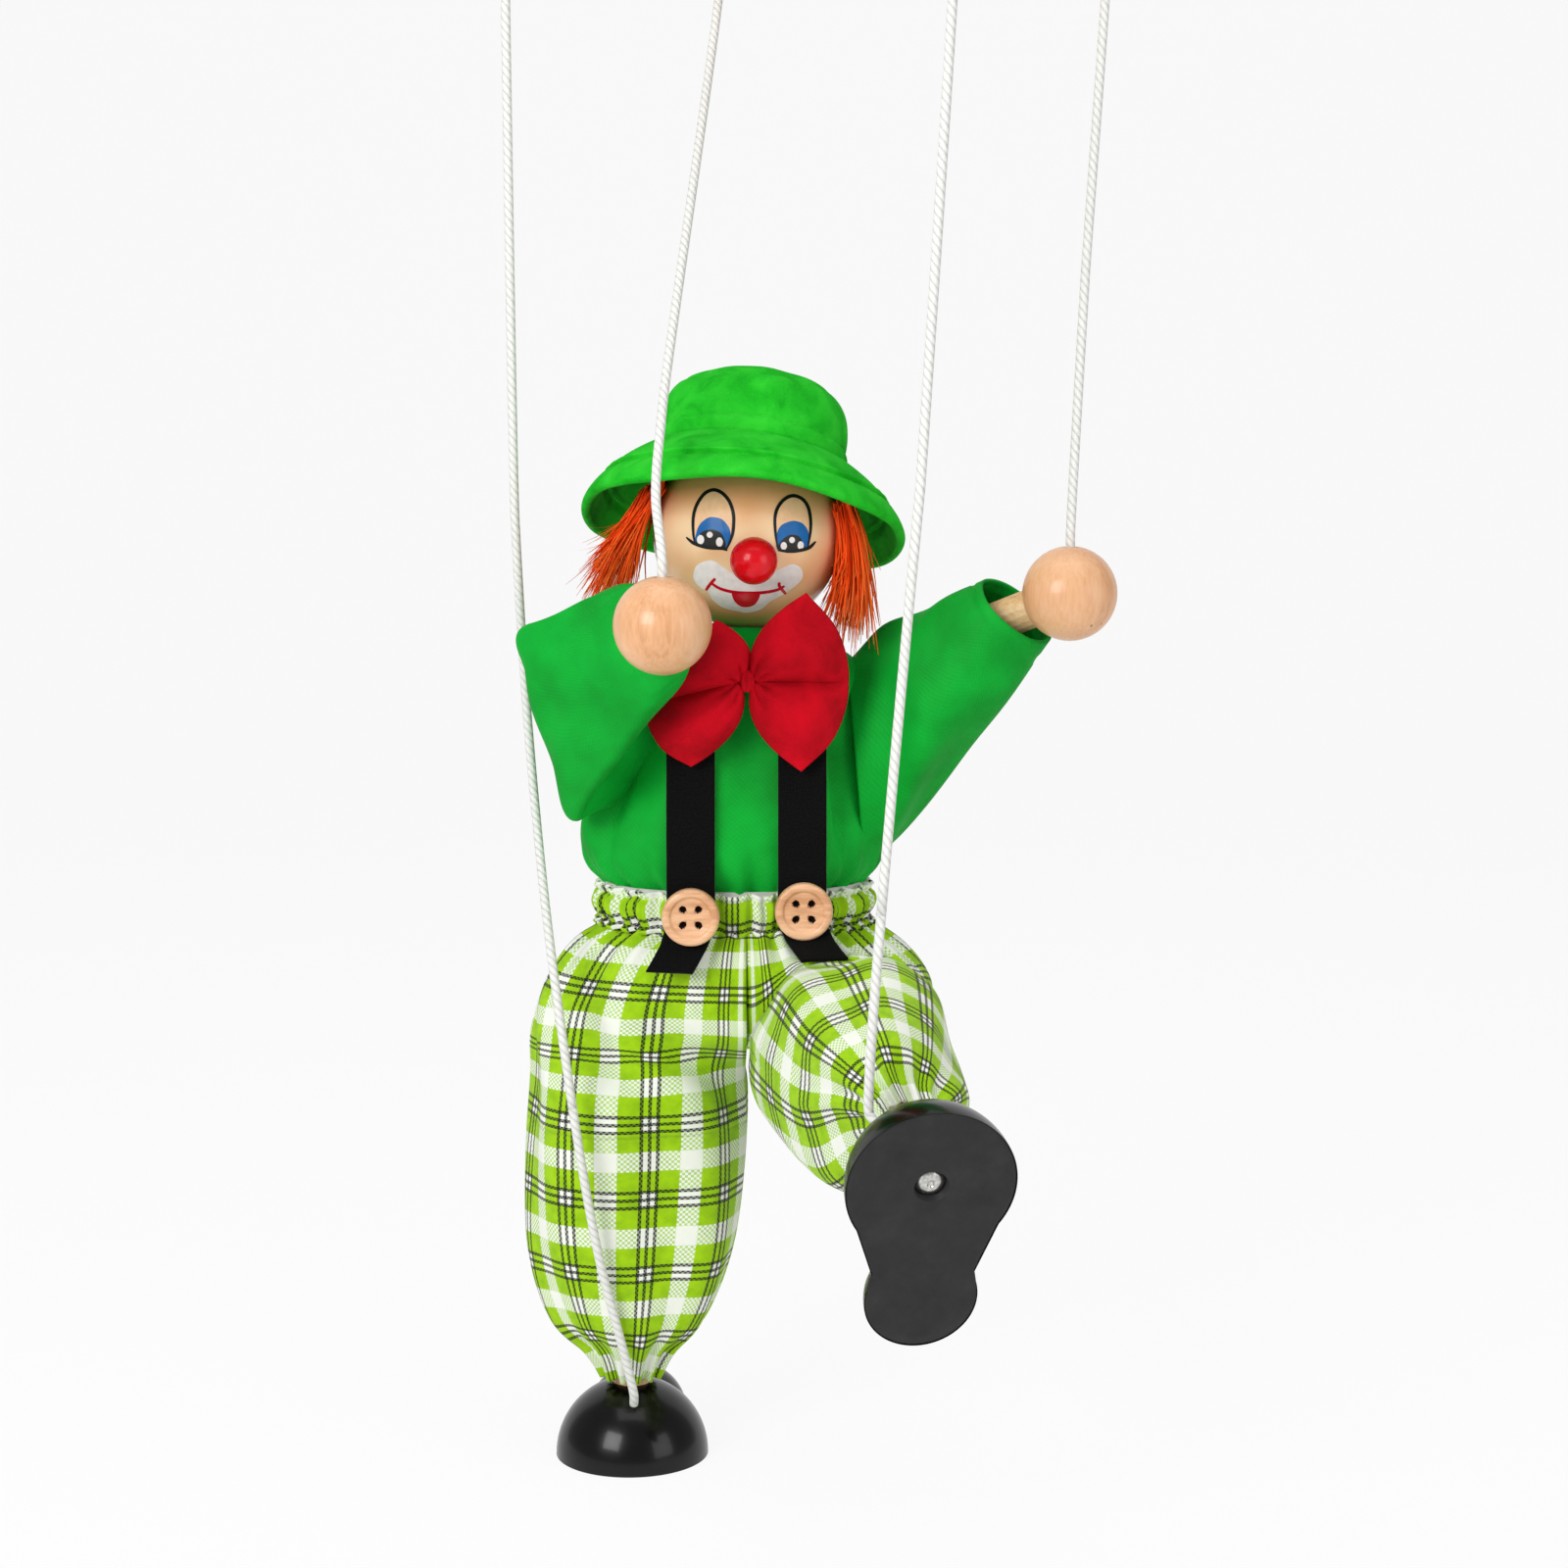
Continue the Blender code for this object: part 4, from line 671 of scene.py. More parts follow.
def addHat():                            # the crown's profile swung round with dents; the brim's as two sides of felt
    turn = circle(192)
    profile = through(hat["crown"], 6)
    r, h = profile[:, :1], profile[:, 1:]
    dent = waves(np.cos, hat["dents"], turn) * ease(h, *hat["dentsFrom"])
    seam = hat["seamDeep"] * np.exp(-((h - hat["topSeam"]) / hat["seamHalf"]) ** 2)
    wide = r + dent * ease(r, 0.0, 12.0) - seam
    # the band sits uneven
    fold = hat["bandLift"] * np.cos(turn + 1.9) * np.exp(-((h - hat["band"]) / hat["bandHalf"]) ** 2)
    local = grid(wide * np.cos(turn), wide * np.sin(turn), h + fold)
    crown = surface("hat_crown_felt", onHat(local), looks["hat"], wall=1.1)
    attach(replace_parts(crown, "hat_crown"), "head")

    # brim: the middle line out to the edge with slow waves, closer rows at the seam and round the edge
    rows = through(hat["brim"], 16)
    sewnAt = np.interp(hat["brimSeam"], rows[:, 0], np.linspace(0.0, 1.0, len(rows)))
    start, rest = hat["roundFrom"], 1.0 - hat["roundFrom"]
    share = np.sort(np.concatenate([np.linspace(0.0, start, 70), sewnAt + np.linspace(-0.012, 0.03, 16),
                                    start + rest * np.sin(np.linspace(0.0, math.pi / 2.0, 9))[1:]]))
    at = share * (len(rows) - 1)
    line = np.stack([np.interp(at, np.arange(len(rows)), rows[:, k]) for k in range(2)], axis=1)
    droop = np.where(np.cos(turn) < 0.0, hat["droop"]["left"], hat["droop"]["right"]) * np.cos(turn) ** 2
    wave = (waves(np.cos, hat["brimWaves"], turn) - droop) * (share ** 2)[:, None]
    out, high = line[:, :1] + hat["spread"] * wave, line[:, 1:] + wave
    dr, dh = np.gradient(out, axis=0), np.gradient(high, axis=0)
    size = np.hypot(dr, dh)
    thick = hat["halfThick"] * np.sqrt(np.clip(1.0 - (np.maximum(share - start, 0.0) / rest) ** 2, 0.0, 1.0))
    past = line[:, 0] - hat["brimSeam"]                      # the flange starts under the brim's turned edge
    step = hat["flange"] * ease(past, -0.05, 0.12) * (1.0 - ease(past, 0.12, 1.5))
    lip = hat["lip"] * np.exp(-((past + 0.35) / 0.4) ** 2) * (past < 0.0)
    sewn = hat["stitchDeep"] * np.cos(hat["stitches"] * turn) * np.exp(-(past / 0.8) ** 2)[:, None]
    thick = np.maximum(thick - step + lip, 0.0)[:, None] * (1.0 + sewn)
    sides = []
    for hand in (1.0, -1.0):
        rr, hh = out - hand * dh / size * thick, high + hand * dr / size * thick
        sides.append(np.stack([rr * np.cos(turn), rr * np.sin(turn), hh], axis=-1))
    loop = np.concatenate([sides[0], sides[1][::-1], sides[0][:1]])
    brim = surface("hat_brim_felt", onHat(loop), looks["hat"])
    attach(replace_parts(brim, "hat_brim"), "head")
    print("hat on")


addHat()


# Tufts of straight fibre from under the brim: each strand bends from its root out and down to a tip. Each place is
# the two ends of a box, and loose is how far strands stray there.
tufts = dict(
    hair_left=dict(count=520, root=((-17.5, -11, 208), (-21.5, 9, 206)),
                   mid=((-22.5, -12.5, 200), (-27.5, 7, 197)), tip=((-25.5, -13.5, 188), (-34, 4, 184))),
    hair_right=dict(count=460, root=((18.3, -10, 203), (21, 9, 205)),
                    mid=((21, -12.5, 191), (25.5, 7, 195)), tip=((17.5, -14, 180.5), (25, 3, 178))))
strands = dict(loose=dict(root=0.8, mid=1.1, tip=3), flatter=(0.55, 1, 1), shortest=9, off=0.35, steps=8,
               sides=3, width=(0.2, 0.12), taper=0.8, tone=(0.05, 0.55))


def addHair():                           # quadratic curves from root by middle to tip, as thin three-sided tubes
    for name, facts in tufts.items():
        n, steps, sides = facts["count"], strands["steps"], strands["sides"]
        across = rng.random((n, 1))
        deep = rng.random((n, 1))
        points = []
        for place, loose in strands["loose"].items():
            low, high = (np.array(x) for x in facts[place])
            share = np.concatenate([across, deep, across], axis=1)
            points.append(low + (high - low) * share + rng.normal(0.0, loose, (n, 3)) * strands["flatter"])
        a, b, c = points
        c[:, 2] += rng.random(n) ** 3 * strands["shortest"]    # some strands end short
        t = np.linspace(0.0, 1.0, steps)[None, :, None]
        path = (1 - t) ** 2 * a[:, None] + 2 * t * (1 - t) * b[:, None] + t ** 2 * c[:, None]
        away = path - np.array(head["centre"])                 # strands lie on the head, not in it
        far = np.linalg.norm(away, axis=-1, keepdims=True)
        path = np.array(head["centre"]) + away * np.maximum(1.0, (head["radius"] + strands["off"]) / far)
        turn = circle(sides)
        ring = np.stack([np.cos(turn), np.sin(turn), 0.0 * turn], axis=1)
        thin, more = strands["width"]
        width = (thin + more * rng.random((n, 1, 1, 1))) * (1.0 - strands["taper"] * t[..., None] ** 3)
        s, i, j = (x.ravel() for x in np.mgrid[0:n, 0:steps - 1, 0:sides])
        k = (j + 1) % sides
        first, after = (s * steps + i) * sides, (s * steps + i + 1) * sides
        faces = np.stack([first + j, first + k, after + k, after + j], axis=1)
        base, spread = strands["tone"]
        tone = (base + spread * rng.random(n))[s]
        v0, v1 = i / (steps - 1.0), (i + 1) / (steps - 1.0)
        corners = np.stack([np.stack([tone, v], axis=1) for v in (v0, v0, v1, v1)], axis=1)
        made = linked(name + "_strands", path[:, :, None] + ring * width, faces, looks["hair"], corners)
        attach(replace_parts(made, name), "head")
    print("hair hung")


addHair()


# Hands: beech balls with a drilled string hole, softly countersunk.
hands = dict(radius=9.75, hole=1.35, holeDeep=3.2, sink=1.95,
             places=dict(left=(-16, -52, 182), right=(66.5, -22, 186.3)))
# Feet: black half balls for toe and heel, a waist between, on a flat sole with a sunk screw.
feet = dict(toe=16.4, heel=11, heelBack=25.6, taper=((7.5, 14.2), (20.5, 9.7)), recess=3.2, recessDeep=2.9,
            bevel=0.35, edgeIn=0.4, edgeUp=0.5,
            screw=((0, 1.2), (0.5, 1.15), (0.8, 0.85), (1.6, 0.95), (2.4, 1.35), (2.85, 1.9), (2.9, 2.6), (0, 2.6)),
            places=dict(left=(-25, -12, 0), right=(35.3, -95, 80.6)),
            turns=dict(left=np.eye(3), right=np.array(((0.9851, -0.0587, -0.1615), (0.1719, 0.3363, 0.9259),
                                                       (0, -0.9399, 0.3414)))))


def footHalfWidth(y):                    # half width of the sole at a distance behind the toe's middle
    toe = np.sqrt(np.maximum(feet["toe"] ** 2 - y ** 2, 0.0))
    heel = np.sqrt(np.maximum(feet["heel"] ** 2 - (y - feet["heelBack"]) ** 2, 0.0))
    (y0, r0), (y1, r1) = feet["taper"]
    waist = np.where((y > y0) & (y < y1 + 4.0), r0 + (r1 - r0) * (y - y0) / (y1 - y0), 0.0)
    return np.maximum(np.maximum(toe, heel), waist)


def addHandsAndFeet():                   # turned balls; half circles along the foot; rings of the sole to its edge
    for side, place in hands["places"].items():
        r, hole, holeDeep = hands["radius"], hands["hole"], hands["holeDeep"]
        start = math.asin(hands["sink"] / r)
        polar = np.linspace(start, math.pi, 56)
        lip = r * math.cos(start)
        bore = ((0.0, lip - holeDeep), (hole, lip - holeDeep), (hole, lip - 0.55), (hole + 0.15, lip - 0.3))
        profile = np.concatenate([bore, grid(r * np.sin(polar), r * np.cos(polar))])
        ball = turned("hand_" + side, place, (0.0, 0.0, 1.0), profile, looks["ball"])
        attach(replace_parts(ball, "hand_ball_" + side), "arm_" + side)

        turn, sole = feet["turns"][side], np.array(feet["places"][side])
        ends = (-feet["toe"], feet["heelBack"] + feet["heel"])
        y = ends[0] + (ends[1] - ends[0]) * 0.5 * (1.0 - np.cos(np.linspace(0.0, math.pi, 120)))
        swing = np.linspace(0.0, math.pi, 49)
        half = footHalfWidth(y)[:, None]
        local = grid(half * np.cos(swing), y[:, None], half * np.sin(swing))
        dome = surface("foot_dome_" + side, sole + local @ turn.T, looks["shoe"], False)
        # sole: rings from the screw recess out to the edge, which is found along each direction
        way = circle(160)
        probe = np.linspace(0.0, 40.0, 2001)
        inside = np.abs(probe * np.sin(way)[:, None]) < footHalfWidth(probe * np.cos(way)[:, None])
        edge = probe[np.argmin(inside, axis=1) - 1]
        grow = np.linspace(0.0, 1.0, 16)[1:, None]
        recess, flat = feet["recess"], feet["recess"] + feet["bevel"]
        out = np.concatenate([np.array((0.0, 1.6, recess, recess, flat))[:, None] * np.ones(160),
                              flat + (edge - feet["edgeIn"] - flat) * grow, edge[None]])
        lift = np.concatenate([np.array((1.0, 1.0, 1.0, 0.1, 0.0)) * feet["recessDeep"], np.zeros(15),
                               (feet["edgeUp"],)])
        local = grid(out * np.sin(way), out * np.cos(way), lift[:, None])
        under = surface("foot_sole_" + side, sole + local @ turn.T, looks["sole"], True)
        ahead = turn @ np.array((0.0, 0.0, 1.0))
        screw = turned("sole_screw_dome_" + side, sole, ahead, through(feet["screw"], 4), looks["steel"], 48)
        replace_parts(dome, "foot_" + side)
        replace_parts(screw, "sole_screw_" + side)
        for piece in (dome, under, screw):
            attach(piece, "shank_" + side)
    print("hands and feet turned")


addHandsAndFeet()


# Shirt: a bloused body gathered at the waist, and two wide sleeves that start inside it. Sections are height,
# centre, half width and half depth; creases are the angle, width and depth of a fold; folds are wave rows.
shirt = dict(
    sections=((177.6, 0, 6.9, 6.6), (177, 0, 8.6, 8.2), (175.8, 0, 11, 10.5), (174.2, 0, 17, 13),
              (170, -0.5, 24, 15.5), (160, -1, 27, 17), (148, -2, 29.5, 19),
              (137, -3.5, 32.3, 20.6), (130.5, -3.5, 32.1, 20.6), (126.6, -3.3, 30.6, 19.8),
              (123.6, -3, 27.8, 18.2), (121.4, -3, 26, 17.2), (118, -3, 25.4, 16.6)),
    gatherAt=(138, 124), gather=0.9, softFrom=(122, 140), softTo=(158, 172), soft=(1.1, 7, 0.05, -6.5),
    neckCut=0.09, neckFrom=(174.5, 177), creaseFrom=(127, 140), creaseTo=(158, 173),
    creases=((-0.72, 0.11, 3.4), (-2.55, 0.12, 2.6), (-1.95, 0.07, 1.1), (0.9, 0.14, 2.2), (2.2, 0.12, 2)),
    # top and bottom of each ring of the right sleeve, half depth, and the way the sleeve runs there
    wing=(((21, 0, 170), (25, 0, 127), 12, (1, 0, 0)),
          ((28.5, 0, 177.4), (32.5, 0, 132.5), 14, (1, 0, 0)),
          ((36, -6.5, 180.8), (43.5, -8, 148), 12.5, (0.9, -0.3, 0.3)),
          ((42.5, -11, 184.8), (54, -13, 162), 11, (0.87, -0.38, 0.33)),
          ((49.2, -14.2, 188.6), (63, -16.8, 176.2), 9.3, (0.85, -0.39, 0.36))),
    # the left sleeve hangs in a folded sling under the bent arm: ten corners of each loop, from the body to the cuff
    sling=(((-21, 6, 173), (-16, -3, 176), (-12, -8, 173), (-14, -11.5, 164),
            (-18, -11.5, 154), (-22, -9, 147), (-24, -6, 141), (-24, -2, 142),
            (-25.5, 5, 154), (-25, 7, 165)),
           ((-31, -1, 176), (-23, -11, 181.5), (-17, -17, 178.5), (-18, -21, 168),
            (-24.5, -19.5, 156), (-28.5, -17.5, 148), (-32.5, -14, 140), (-34.5, -7, 143),
            (-36.5, -1, 156), (-35.5, 1, 168)),
           ((-45.8, -19, 178.5), (-34, -22, 184.5), (-22, -26, 186), (-17, -26, 174),
            (-22.5, -24, 161.5), (-29.5, -21.5, 149.5), (-35.5, -18, 140), (-40, -17, 146),
            (-43, -17.5, 157), (-45.2, -18.5, 169)),
           ((-41, -28, 180.5), (-31, -31, 186.5), (-20.5, -34, 188), (-12.5, -35, 178),
            (-13.2, -35, 168.5), (-21, -32.5, 160), (-30.5, -28.5, 151), (-36.5, -26, 157),
            (-39.5, -26.5, 166), (-41, -27.5, 174)),
           ((-25.6, -37, 184.5), (-22, -36.5, 187.6), (-17, -37.5, 188.8), (-11.5, -39, 185),
            (-9.8, -40.5, 178.5), (-11.5, -41.5, 173.5), (-16, -41.5, 171.6), (-21, -40.5, 172.8),
            (-24.6, -39, 176), (-26.2, -38, 180.5))),
    folds=dict(right=((0.7, 3, 5, 0), (0.5, 5, -7, 1)), left=((0.6, 3, 6, 0), (0.4, 6, -9, 0.5))),
    hollow=dict(right=0, left=4.5), hollowAt=(0.36, 0.58), hollowHalf=(0.15, 0.1), hem=0.35, wall=0.7, girth=168,
    round=dict(right=100, left=110), cordRadius=0.8,
    bends=dict(right=((22, 0, 160), (40, -6, 172)), left=((-24, -10, 162), (-20, -36, 176))),
    shoulderCord=((-24.9, -7.5, 168.7), (-25.8, -3.2, 167.6), (-26.7, 1.6, 166.4), (-10, 3, 166),
                  (10, 3, 166), (22.2, 2.3, 166.5), (26.3, 0.1, 168.4), (30, -1.9, 170)))


def shirtFront(x, z):                    # y of the shirt's front at a place
    high = np.array(shirt["sections"])[::-1]
    centre, wide, deep = (np.interp(z, high[:, 0], high[:, k]) for k in (1, 2, 3))
    return -deep * np.sqrt(np.maximum(0.0, 1.0 - ((x - centre) / wide) ** 2))


def addShirt():                          # ovals swollen by gathers and creases; sleeves lofted through their rings
    rows = through(shirt["sections"], 12)
    z, centre, wide, deep = (rows[:, k:k + 1] for k in range(4))
    turn = circle(240)
    gather = 0.55 * np.cos(21.0 * turn + 1.2 * np.sin(3.0 * turn)) + 0.4 * np.cos(34.0 * turn + 0.7)
    soft = waves(np.cos, (shirt["soft"],), turn, z) * ease(z, *shirt["softFrom"]) * (1.0 - ease(z, *shirt["softTo"]))
    swell = gather * ease(z, *shirt["gatherAt"]) * shirt["gather"] + soft
    held = ease(z, *shirt["creaseFrom"]) * (1.0 - ease(z, *shirt["creaseTo"]))
    for place, width, depth in shirt["creases"]:
        apart = (turn - place + math.pi) % tau - math.pi
        swell -= depth * np.exp(-(apart / width) ** 2) * held
    x, y = wide * np.cos(turn), deep * np.sin(turn)
    z = z - shirt["neckCut"] * y * ease(z, *shirt["neckFrom"])     # the neck is cut lower at the back
    grow = 1.0 + swell / np.hypot(x, y)
    points = grid(centre + x * grow, y * grow, z)
    uv = clothMap(np.arange(241) / 240 * shirt["girth"], points)
    body = surface("shirt_blouse", points, looks["shirt"], True, uv, shirt["wall"])
    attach(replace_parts(body, "shirt_body"), "control")

    angle = circle(120)
    flat = np.sign(np.cos(angle)) * np.abs(np.cos(angle)) ** 1.2       # a lens: folded along top and bottom
    tall = np.sign(np.sin(angle)) * np.abs(np.sin(angle)) ** 0.9
    wing = []
    for top, bottom, half, way in shirt["wing"]:
        top, bottom = np.array(top), np.array(bottom)
        rise = (top - bottom) / 2.0
        across = unit(np.cross(way, rise)) * half
        wing.append((top + bottom) / 2.0 + across * flat[:, None] + rise * tall[:, None])
    sling = [closedCurve(loop, 12)[:-1] for loop in shirt["sling"]]
    for side, loops in (("right", wing), ("left", sling)):
        points = through(loops, 16)
        along = np.linspace(0.0, 1.0, len(points))[:, None]
        free = np.sin(math.pi * along).clip(0.0) ** 0.8
        # the left sleeve's top edge rolls over a hollow, set by the angle round and the share along
        (angleAt, alongAt), (angleHalf, alongHalf) = shirt["hollowAt"], shirt["hollowHalf"]
        roll = (angle - angleAt + math.pi) % tau - math.pi
        hollow = np.exp(-(roll / angleHalf) ** 2) * np.exp(-((along - alongAt) / alongHalf) ** 2)
        fold = waves(np.sin, shirt["folds"][side], angle, along) - shirt["hollow"][side] * hollow
        hem = shirt["hem"] * np.exp(-((along - 0.93) / 0.012) ** 2)
        points = points + outward(points, True) * (fold * free - hem)[..., None]
        uv = clothMap(np.arange(121) / 120 * shirt["round"][side], points)
        sleeve = surface("sleeve_cloth_" + side, points, looks["shirt"], True, uv, shirt["wall"])
        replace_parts(sleeve, "sleeve_" + side)
        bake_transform(sleeve)
    joint = tube("shoulder_cord_braid", routed(shirt["shoulderCord"], 8), shirt["cordRadius"], looks["cord"], 8)
    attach(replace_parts(joint, "shoulder_cord"), "control")
    print("shirt sewn")


addShirt()


# Bow tie: two felt wings pinched to a small knot; each wing fans out from the knot to three tips, with a bulging
# lobe either side of the crease that runs from the knot to the middle tip.
bow = dict(depth=-24.5, knot=(0.2, 168.5), wall=1.2, lobe=3.6, belly=3.3, tipsBack=(1.5, 6, 1.5), between=1.13,
           barrel=(1.9, 2.6, 2.3), cloth=(40, 20), off=0.9,
           pinch=1.1, cup=1.2, ripple=0.3, crease=1.3,
           tips=dict(right=((12.4, 186.5), (21, 167.5), (11.4, 149.5)),
                     left=((-6, 181), (-20.5, 163), (-11.4, 150.5))))


def addBow():                            # rays from the knot to a curve through the tips, swollen by sines
    place = np.array((bow["knot"][0], bow["depth"], bow["knot"][1]))
    share = np.linspace(0.0, 1.0, 97)
    reach = np.linspace(0.0, 1.0, 48)[:, None]
    lobes = np.abs(np.sin(tau * share)) ** 0.9
    rise = np.sin(math.pi * np.minimum(1.0, reach * 0.93 + 0.02)) ** 0.7
    pinch = np.exp(-reach / 0.2)
    for side, tips in bow["tips"].items():
        sign = 1.0 if side == "right" else -1.0
        middle = place + (sign * bow["off"], 0.0, 0.0)
        t = np.array([(x, bow["depth"] + back, z) for (x, z), back in zip(tips, bow["tipsBack"])])
        between = [middle + ((t[k] + t[k + 1]) / 2.0 - middle) * bow["between"] for k in (0, 1)]
        ray = through((t[0], between[0], t[1], between[1], t[2]), 24) - middle
        points = middle + ray[None] * (0.05 + 0.95 * reach)[..., None]
        # the inner edges bow out towards the middle line, least at the crease
        square = unit(np.stack([-ray[:, 2], 0.0 * share, ray[:, 0]], axis=1))
        lean = np.cos(math.pi * share)
        belly = sign * bow["belly"] * lean * np.abs(lean) * np.sin(math.pi * reach ** 0.75)
        points = points + square[None] * belly[..., None]
        points[..., 1] += (-bow["lobe"] * lobes * rise + bow["pinch"] * np.cos(12.0 * math.pi * share + 0.6) * pinch
                           - bow["cup"] * np.sin(math.pi * reach) + bow["crease"] * (1.0 - lobes) * rise
                           + bow["ripple"] * np.sin(9.0 * reach + 6.0 * share) * reach)
        uv = grid(share * bow["cloth"][0], reach * bow["cloth"][1])
        wing = surface("bow_felt_" + side, points, looks["bow"], False, uv, bow["wall"], 0.0)
        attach(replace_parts(wing, "bow_wing_" + side), "control")
    # knot: a small barrel of felt, creased where the thread pulls it in
    polar, turn = np.linspace(0.0, math.pi, 40)[:, None], circle(64)
    crease = np.sin(polar) ** 0.7 * (1.0 + 0.09 * np.cos(9.0 * turn) * np.sin(polar))
    barrel = grid(np.cos(turn) * crease, np.sin(turn) * crease, np.cos(polar)) * bow["barrel"]
    knot = surface("bow_knot_felt", place + barrel, looks["bow"])
    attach(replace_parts(knot, "bow_knot"), "control")
    print("bow tied")


addBow()


# Braces: velvet ribbon down the shirt, under a button, ending in a cut tab on the trousers.
braces = dict(width=10, wall=0.8, off=1.6, selvedge=0.18, ripple=0.12, x=11.6,
              heights=(164, 157, 150, 142, 136, 130.5), tipFrom=(115, 112),
              waist=((-22.9, 126), (-22.9, 119)),
              tabs=dict(left=((1, -23.8, 114.4), (2.6, -25.6, 111.2), (4.4, -27.4, 108.2)),
                        right=((1.2, -25.4, 115.4), (2.8, -28.4, 113.4), (4.6, -31.6, 111.6))))
buttons = dict(places=dict(left=(-11.5, -26.4, 119.6), right=(11.9, -26.4, 120.8)), holeOut=2.25, hole=0.75,
               holeDeep=1.4, dark=(0.0002, 0.00112, 0.0035),
               profile=((0, 0.45), (3.6, 0.5), (4.15, 0.75), (4.5, 1.15), (5.1, 1.3), (5.6, 1.2), (5.95, 0.75),
                        (6, 0), (5.95, -0.8), (5.3, -1.2), (0, -1.2)))


def addBracesAndButtons():               # a strip either side of a line down the shirt; a turned disc with four dips
    for side, sign in (("left", -1.0), ("right", 1.0)):
        x = sign * braces["x"]
        path = [(x, min(shirtFront(x + off, z) for off in (-5.0, 0.0, 5.0)) - braces["off"], z)
                for z in braces["heights"]]
        path += [(x, y, z) for y, z in braces["waist"]]
        path += [(x + sign * a, b, c) for a, b, c in braces["tabs"][side]]
        line = through(path, 10)
        over = np.linspace(-1.0, 1.0, 15)
        tip = ease(line[:, 2], *braces["tipFrom"])[:, None, None]
        across = np.array((1.0, 0.0, 0.0)) * (1.0 - tip) + np.array((0.96, sign * 0.22, 0.0)) * tip
        edge = braces["selvedge"] * ease(np.abs(over), 0.8, 0.95)     # woven selvedge stands a little proud
        ripple = braces["ripple"] * np.sin(line[:, 2:3] * 0.55 + over * 1.3)
        points = line[:, None] + across * (over * braces["width"] / 2.0)[None, :, None]
        points[..., 1] -= edge + ripple
        uv = grid(over * braces["width"] / 2.0, lengths(line)[:, None])
        ribbon = surface("brace_ribbon_" + side, points, looks["velvet"], False, uv, braces["wall"], 0.0)
        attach(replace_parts(ribbon, "brace_" + side), "control")

        fine = through(buttons["profile"], 10)
        turn = circle(144)
        px, pz = fine[:, :1] * np.cos(turn), fine[:, :1] * np.sin(turn)
        high = np.broadcast_to(fine[:, 1:], px.shape).copy()
        front = (np.arange(len(fine)) < len(fine) * 0.55)[:, None]
        for quarter in range(4):                               # four drilled holes
            a = math.radians(45.0 + 90.0 * quarter)
            away = np.hypot(px - buttons["holeOut"] * math.cos(a), pz - buttons["holeOut"] * math.sin(a))
            bored = 1.0 - ease(away, buttons["hole"] - 0.12, buttons["hole"] + 0.05)
            high -= buttons["holeDeep"] * bored * front
        place = np.array(buttons["places"][side])
        points = place + np.stack([px, -high, pz], axis=-1)
        # the faces deep in the four holes take near-black paint: painted shade in the holes
        button = surface("button_turned_" + side, points, [looks["button"], looks["inside"]], True)
        middles = np.zeros(len(button.data.polygons) * 3, np.float32)
        button.data.polygons.foreach_get("center", middles)
        middles = middles.reshape(-1, 3) - inFrame(place)
        start, end, reach = buttons["dark"]                    # where the painted shade goes: metres behind the face, and from the middle
        deep = (middles[:, 1] > start) & (middles[:, 1] < end) & (np.hypot(middles[:, 0], middles[:, 2]) < reach)
        button.data.polygons.foreach_set("material_index", deep.astype(np.int32))
        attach(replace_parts(button, "button_" + side), "control")
    print("braces buttoned")


addBracesAndButtons()


# Trousers: each leg is a seat half (open loops from the front seam round the side to the back seam) that runs on
# into a balloon leg gathered at its cuff. Seats: seam, front, side and back height, half width, front, back, bulge.
trousers = dict(
    seats=dict(left=((115.2, 115.2, 115.2, 115.2, 28.5, 19.8, 19.5, 0),
                     (110, 110, 110, 110, 37, 21.5, 21, 0),
                     (100, 100, 100, 100, 44, 22.5, 22, 0),
                     (91, 91, 90, 90, 46.5, 20, 19.5, 0)),
               right=((115.2, 115.2, 115.2, 115.2, 25.5, 19.8, 19.5, 0),
                      (109.5, 111, 109, 107, 33.5, 21, 22, 5),
                      (101, 110.4, 101, 96, 39, 21.5, 22, 9),
                      (91, 110.4, 92, 84, 40.5, 20, 18, 13))),
    # centre, half width and the half depth as a vector, down the leg
    legs=dict(left=(((-23.8, -2, 80), 23.2, (0, 21, 0)), ((-24, -5, 66), 23.6, (0, 19.5, 0)),
                    ((-24.6, -8.5, 46), 21.8, (0, 17, 0)), ((-25, -12, 31), 16.5, (0, 11.5, 0)),
                    ((-25, -12, 23.4), 9.4, (0, 8.4, 0)), ((-25, -12, 17.4), 6.2, (0, 6.2, 0))),
              right=(((21.5, -21, 91), 20.8, (0, 13.5, -21)), ((23.5, -37, 89.5), 20, (0, 5, -24)),
                     ((27, -54, 87), 16.5, (1, 1.5, -22)), ((30, -66.5, 89.5), 12, (1.5, 4, -14)),
                     ((31.5, -73, 89.6), 7.5, (1.5, 3, -7.6)), ((32.3, -76.4, 87.5), 5.9, (0.5, 2, -5.6)))),
    cut=dict(left=(2, 72), right=(1, -33)),          # axis and place where the leg is parted over the knee
    hip=dict(left=((-22, 0, 112), (-24, 0, 80)), right=((18, -19.8, 115.2), (18, -28.1, 105.2))),
    knee=dict(left=((-25, -8, 66), (-25, -8, 50)), right=((23, -35, 89.2), (23, -53.2, 83.7))),
    folds=((0.8, 5, 7, 0), (0.6, 3, -11, 1), (0.45, 8, 9, 2)),
    waistTo=(0, 0.28), waistGather=0.75, cuffFrom=(0.74, 0.93), cuffGather=0.85, edge=0.03,
    around=132, phase=3.3, seam=0.03, wall=0.7)


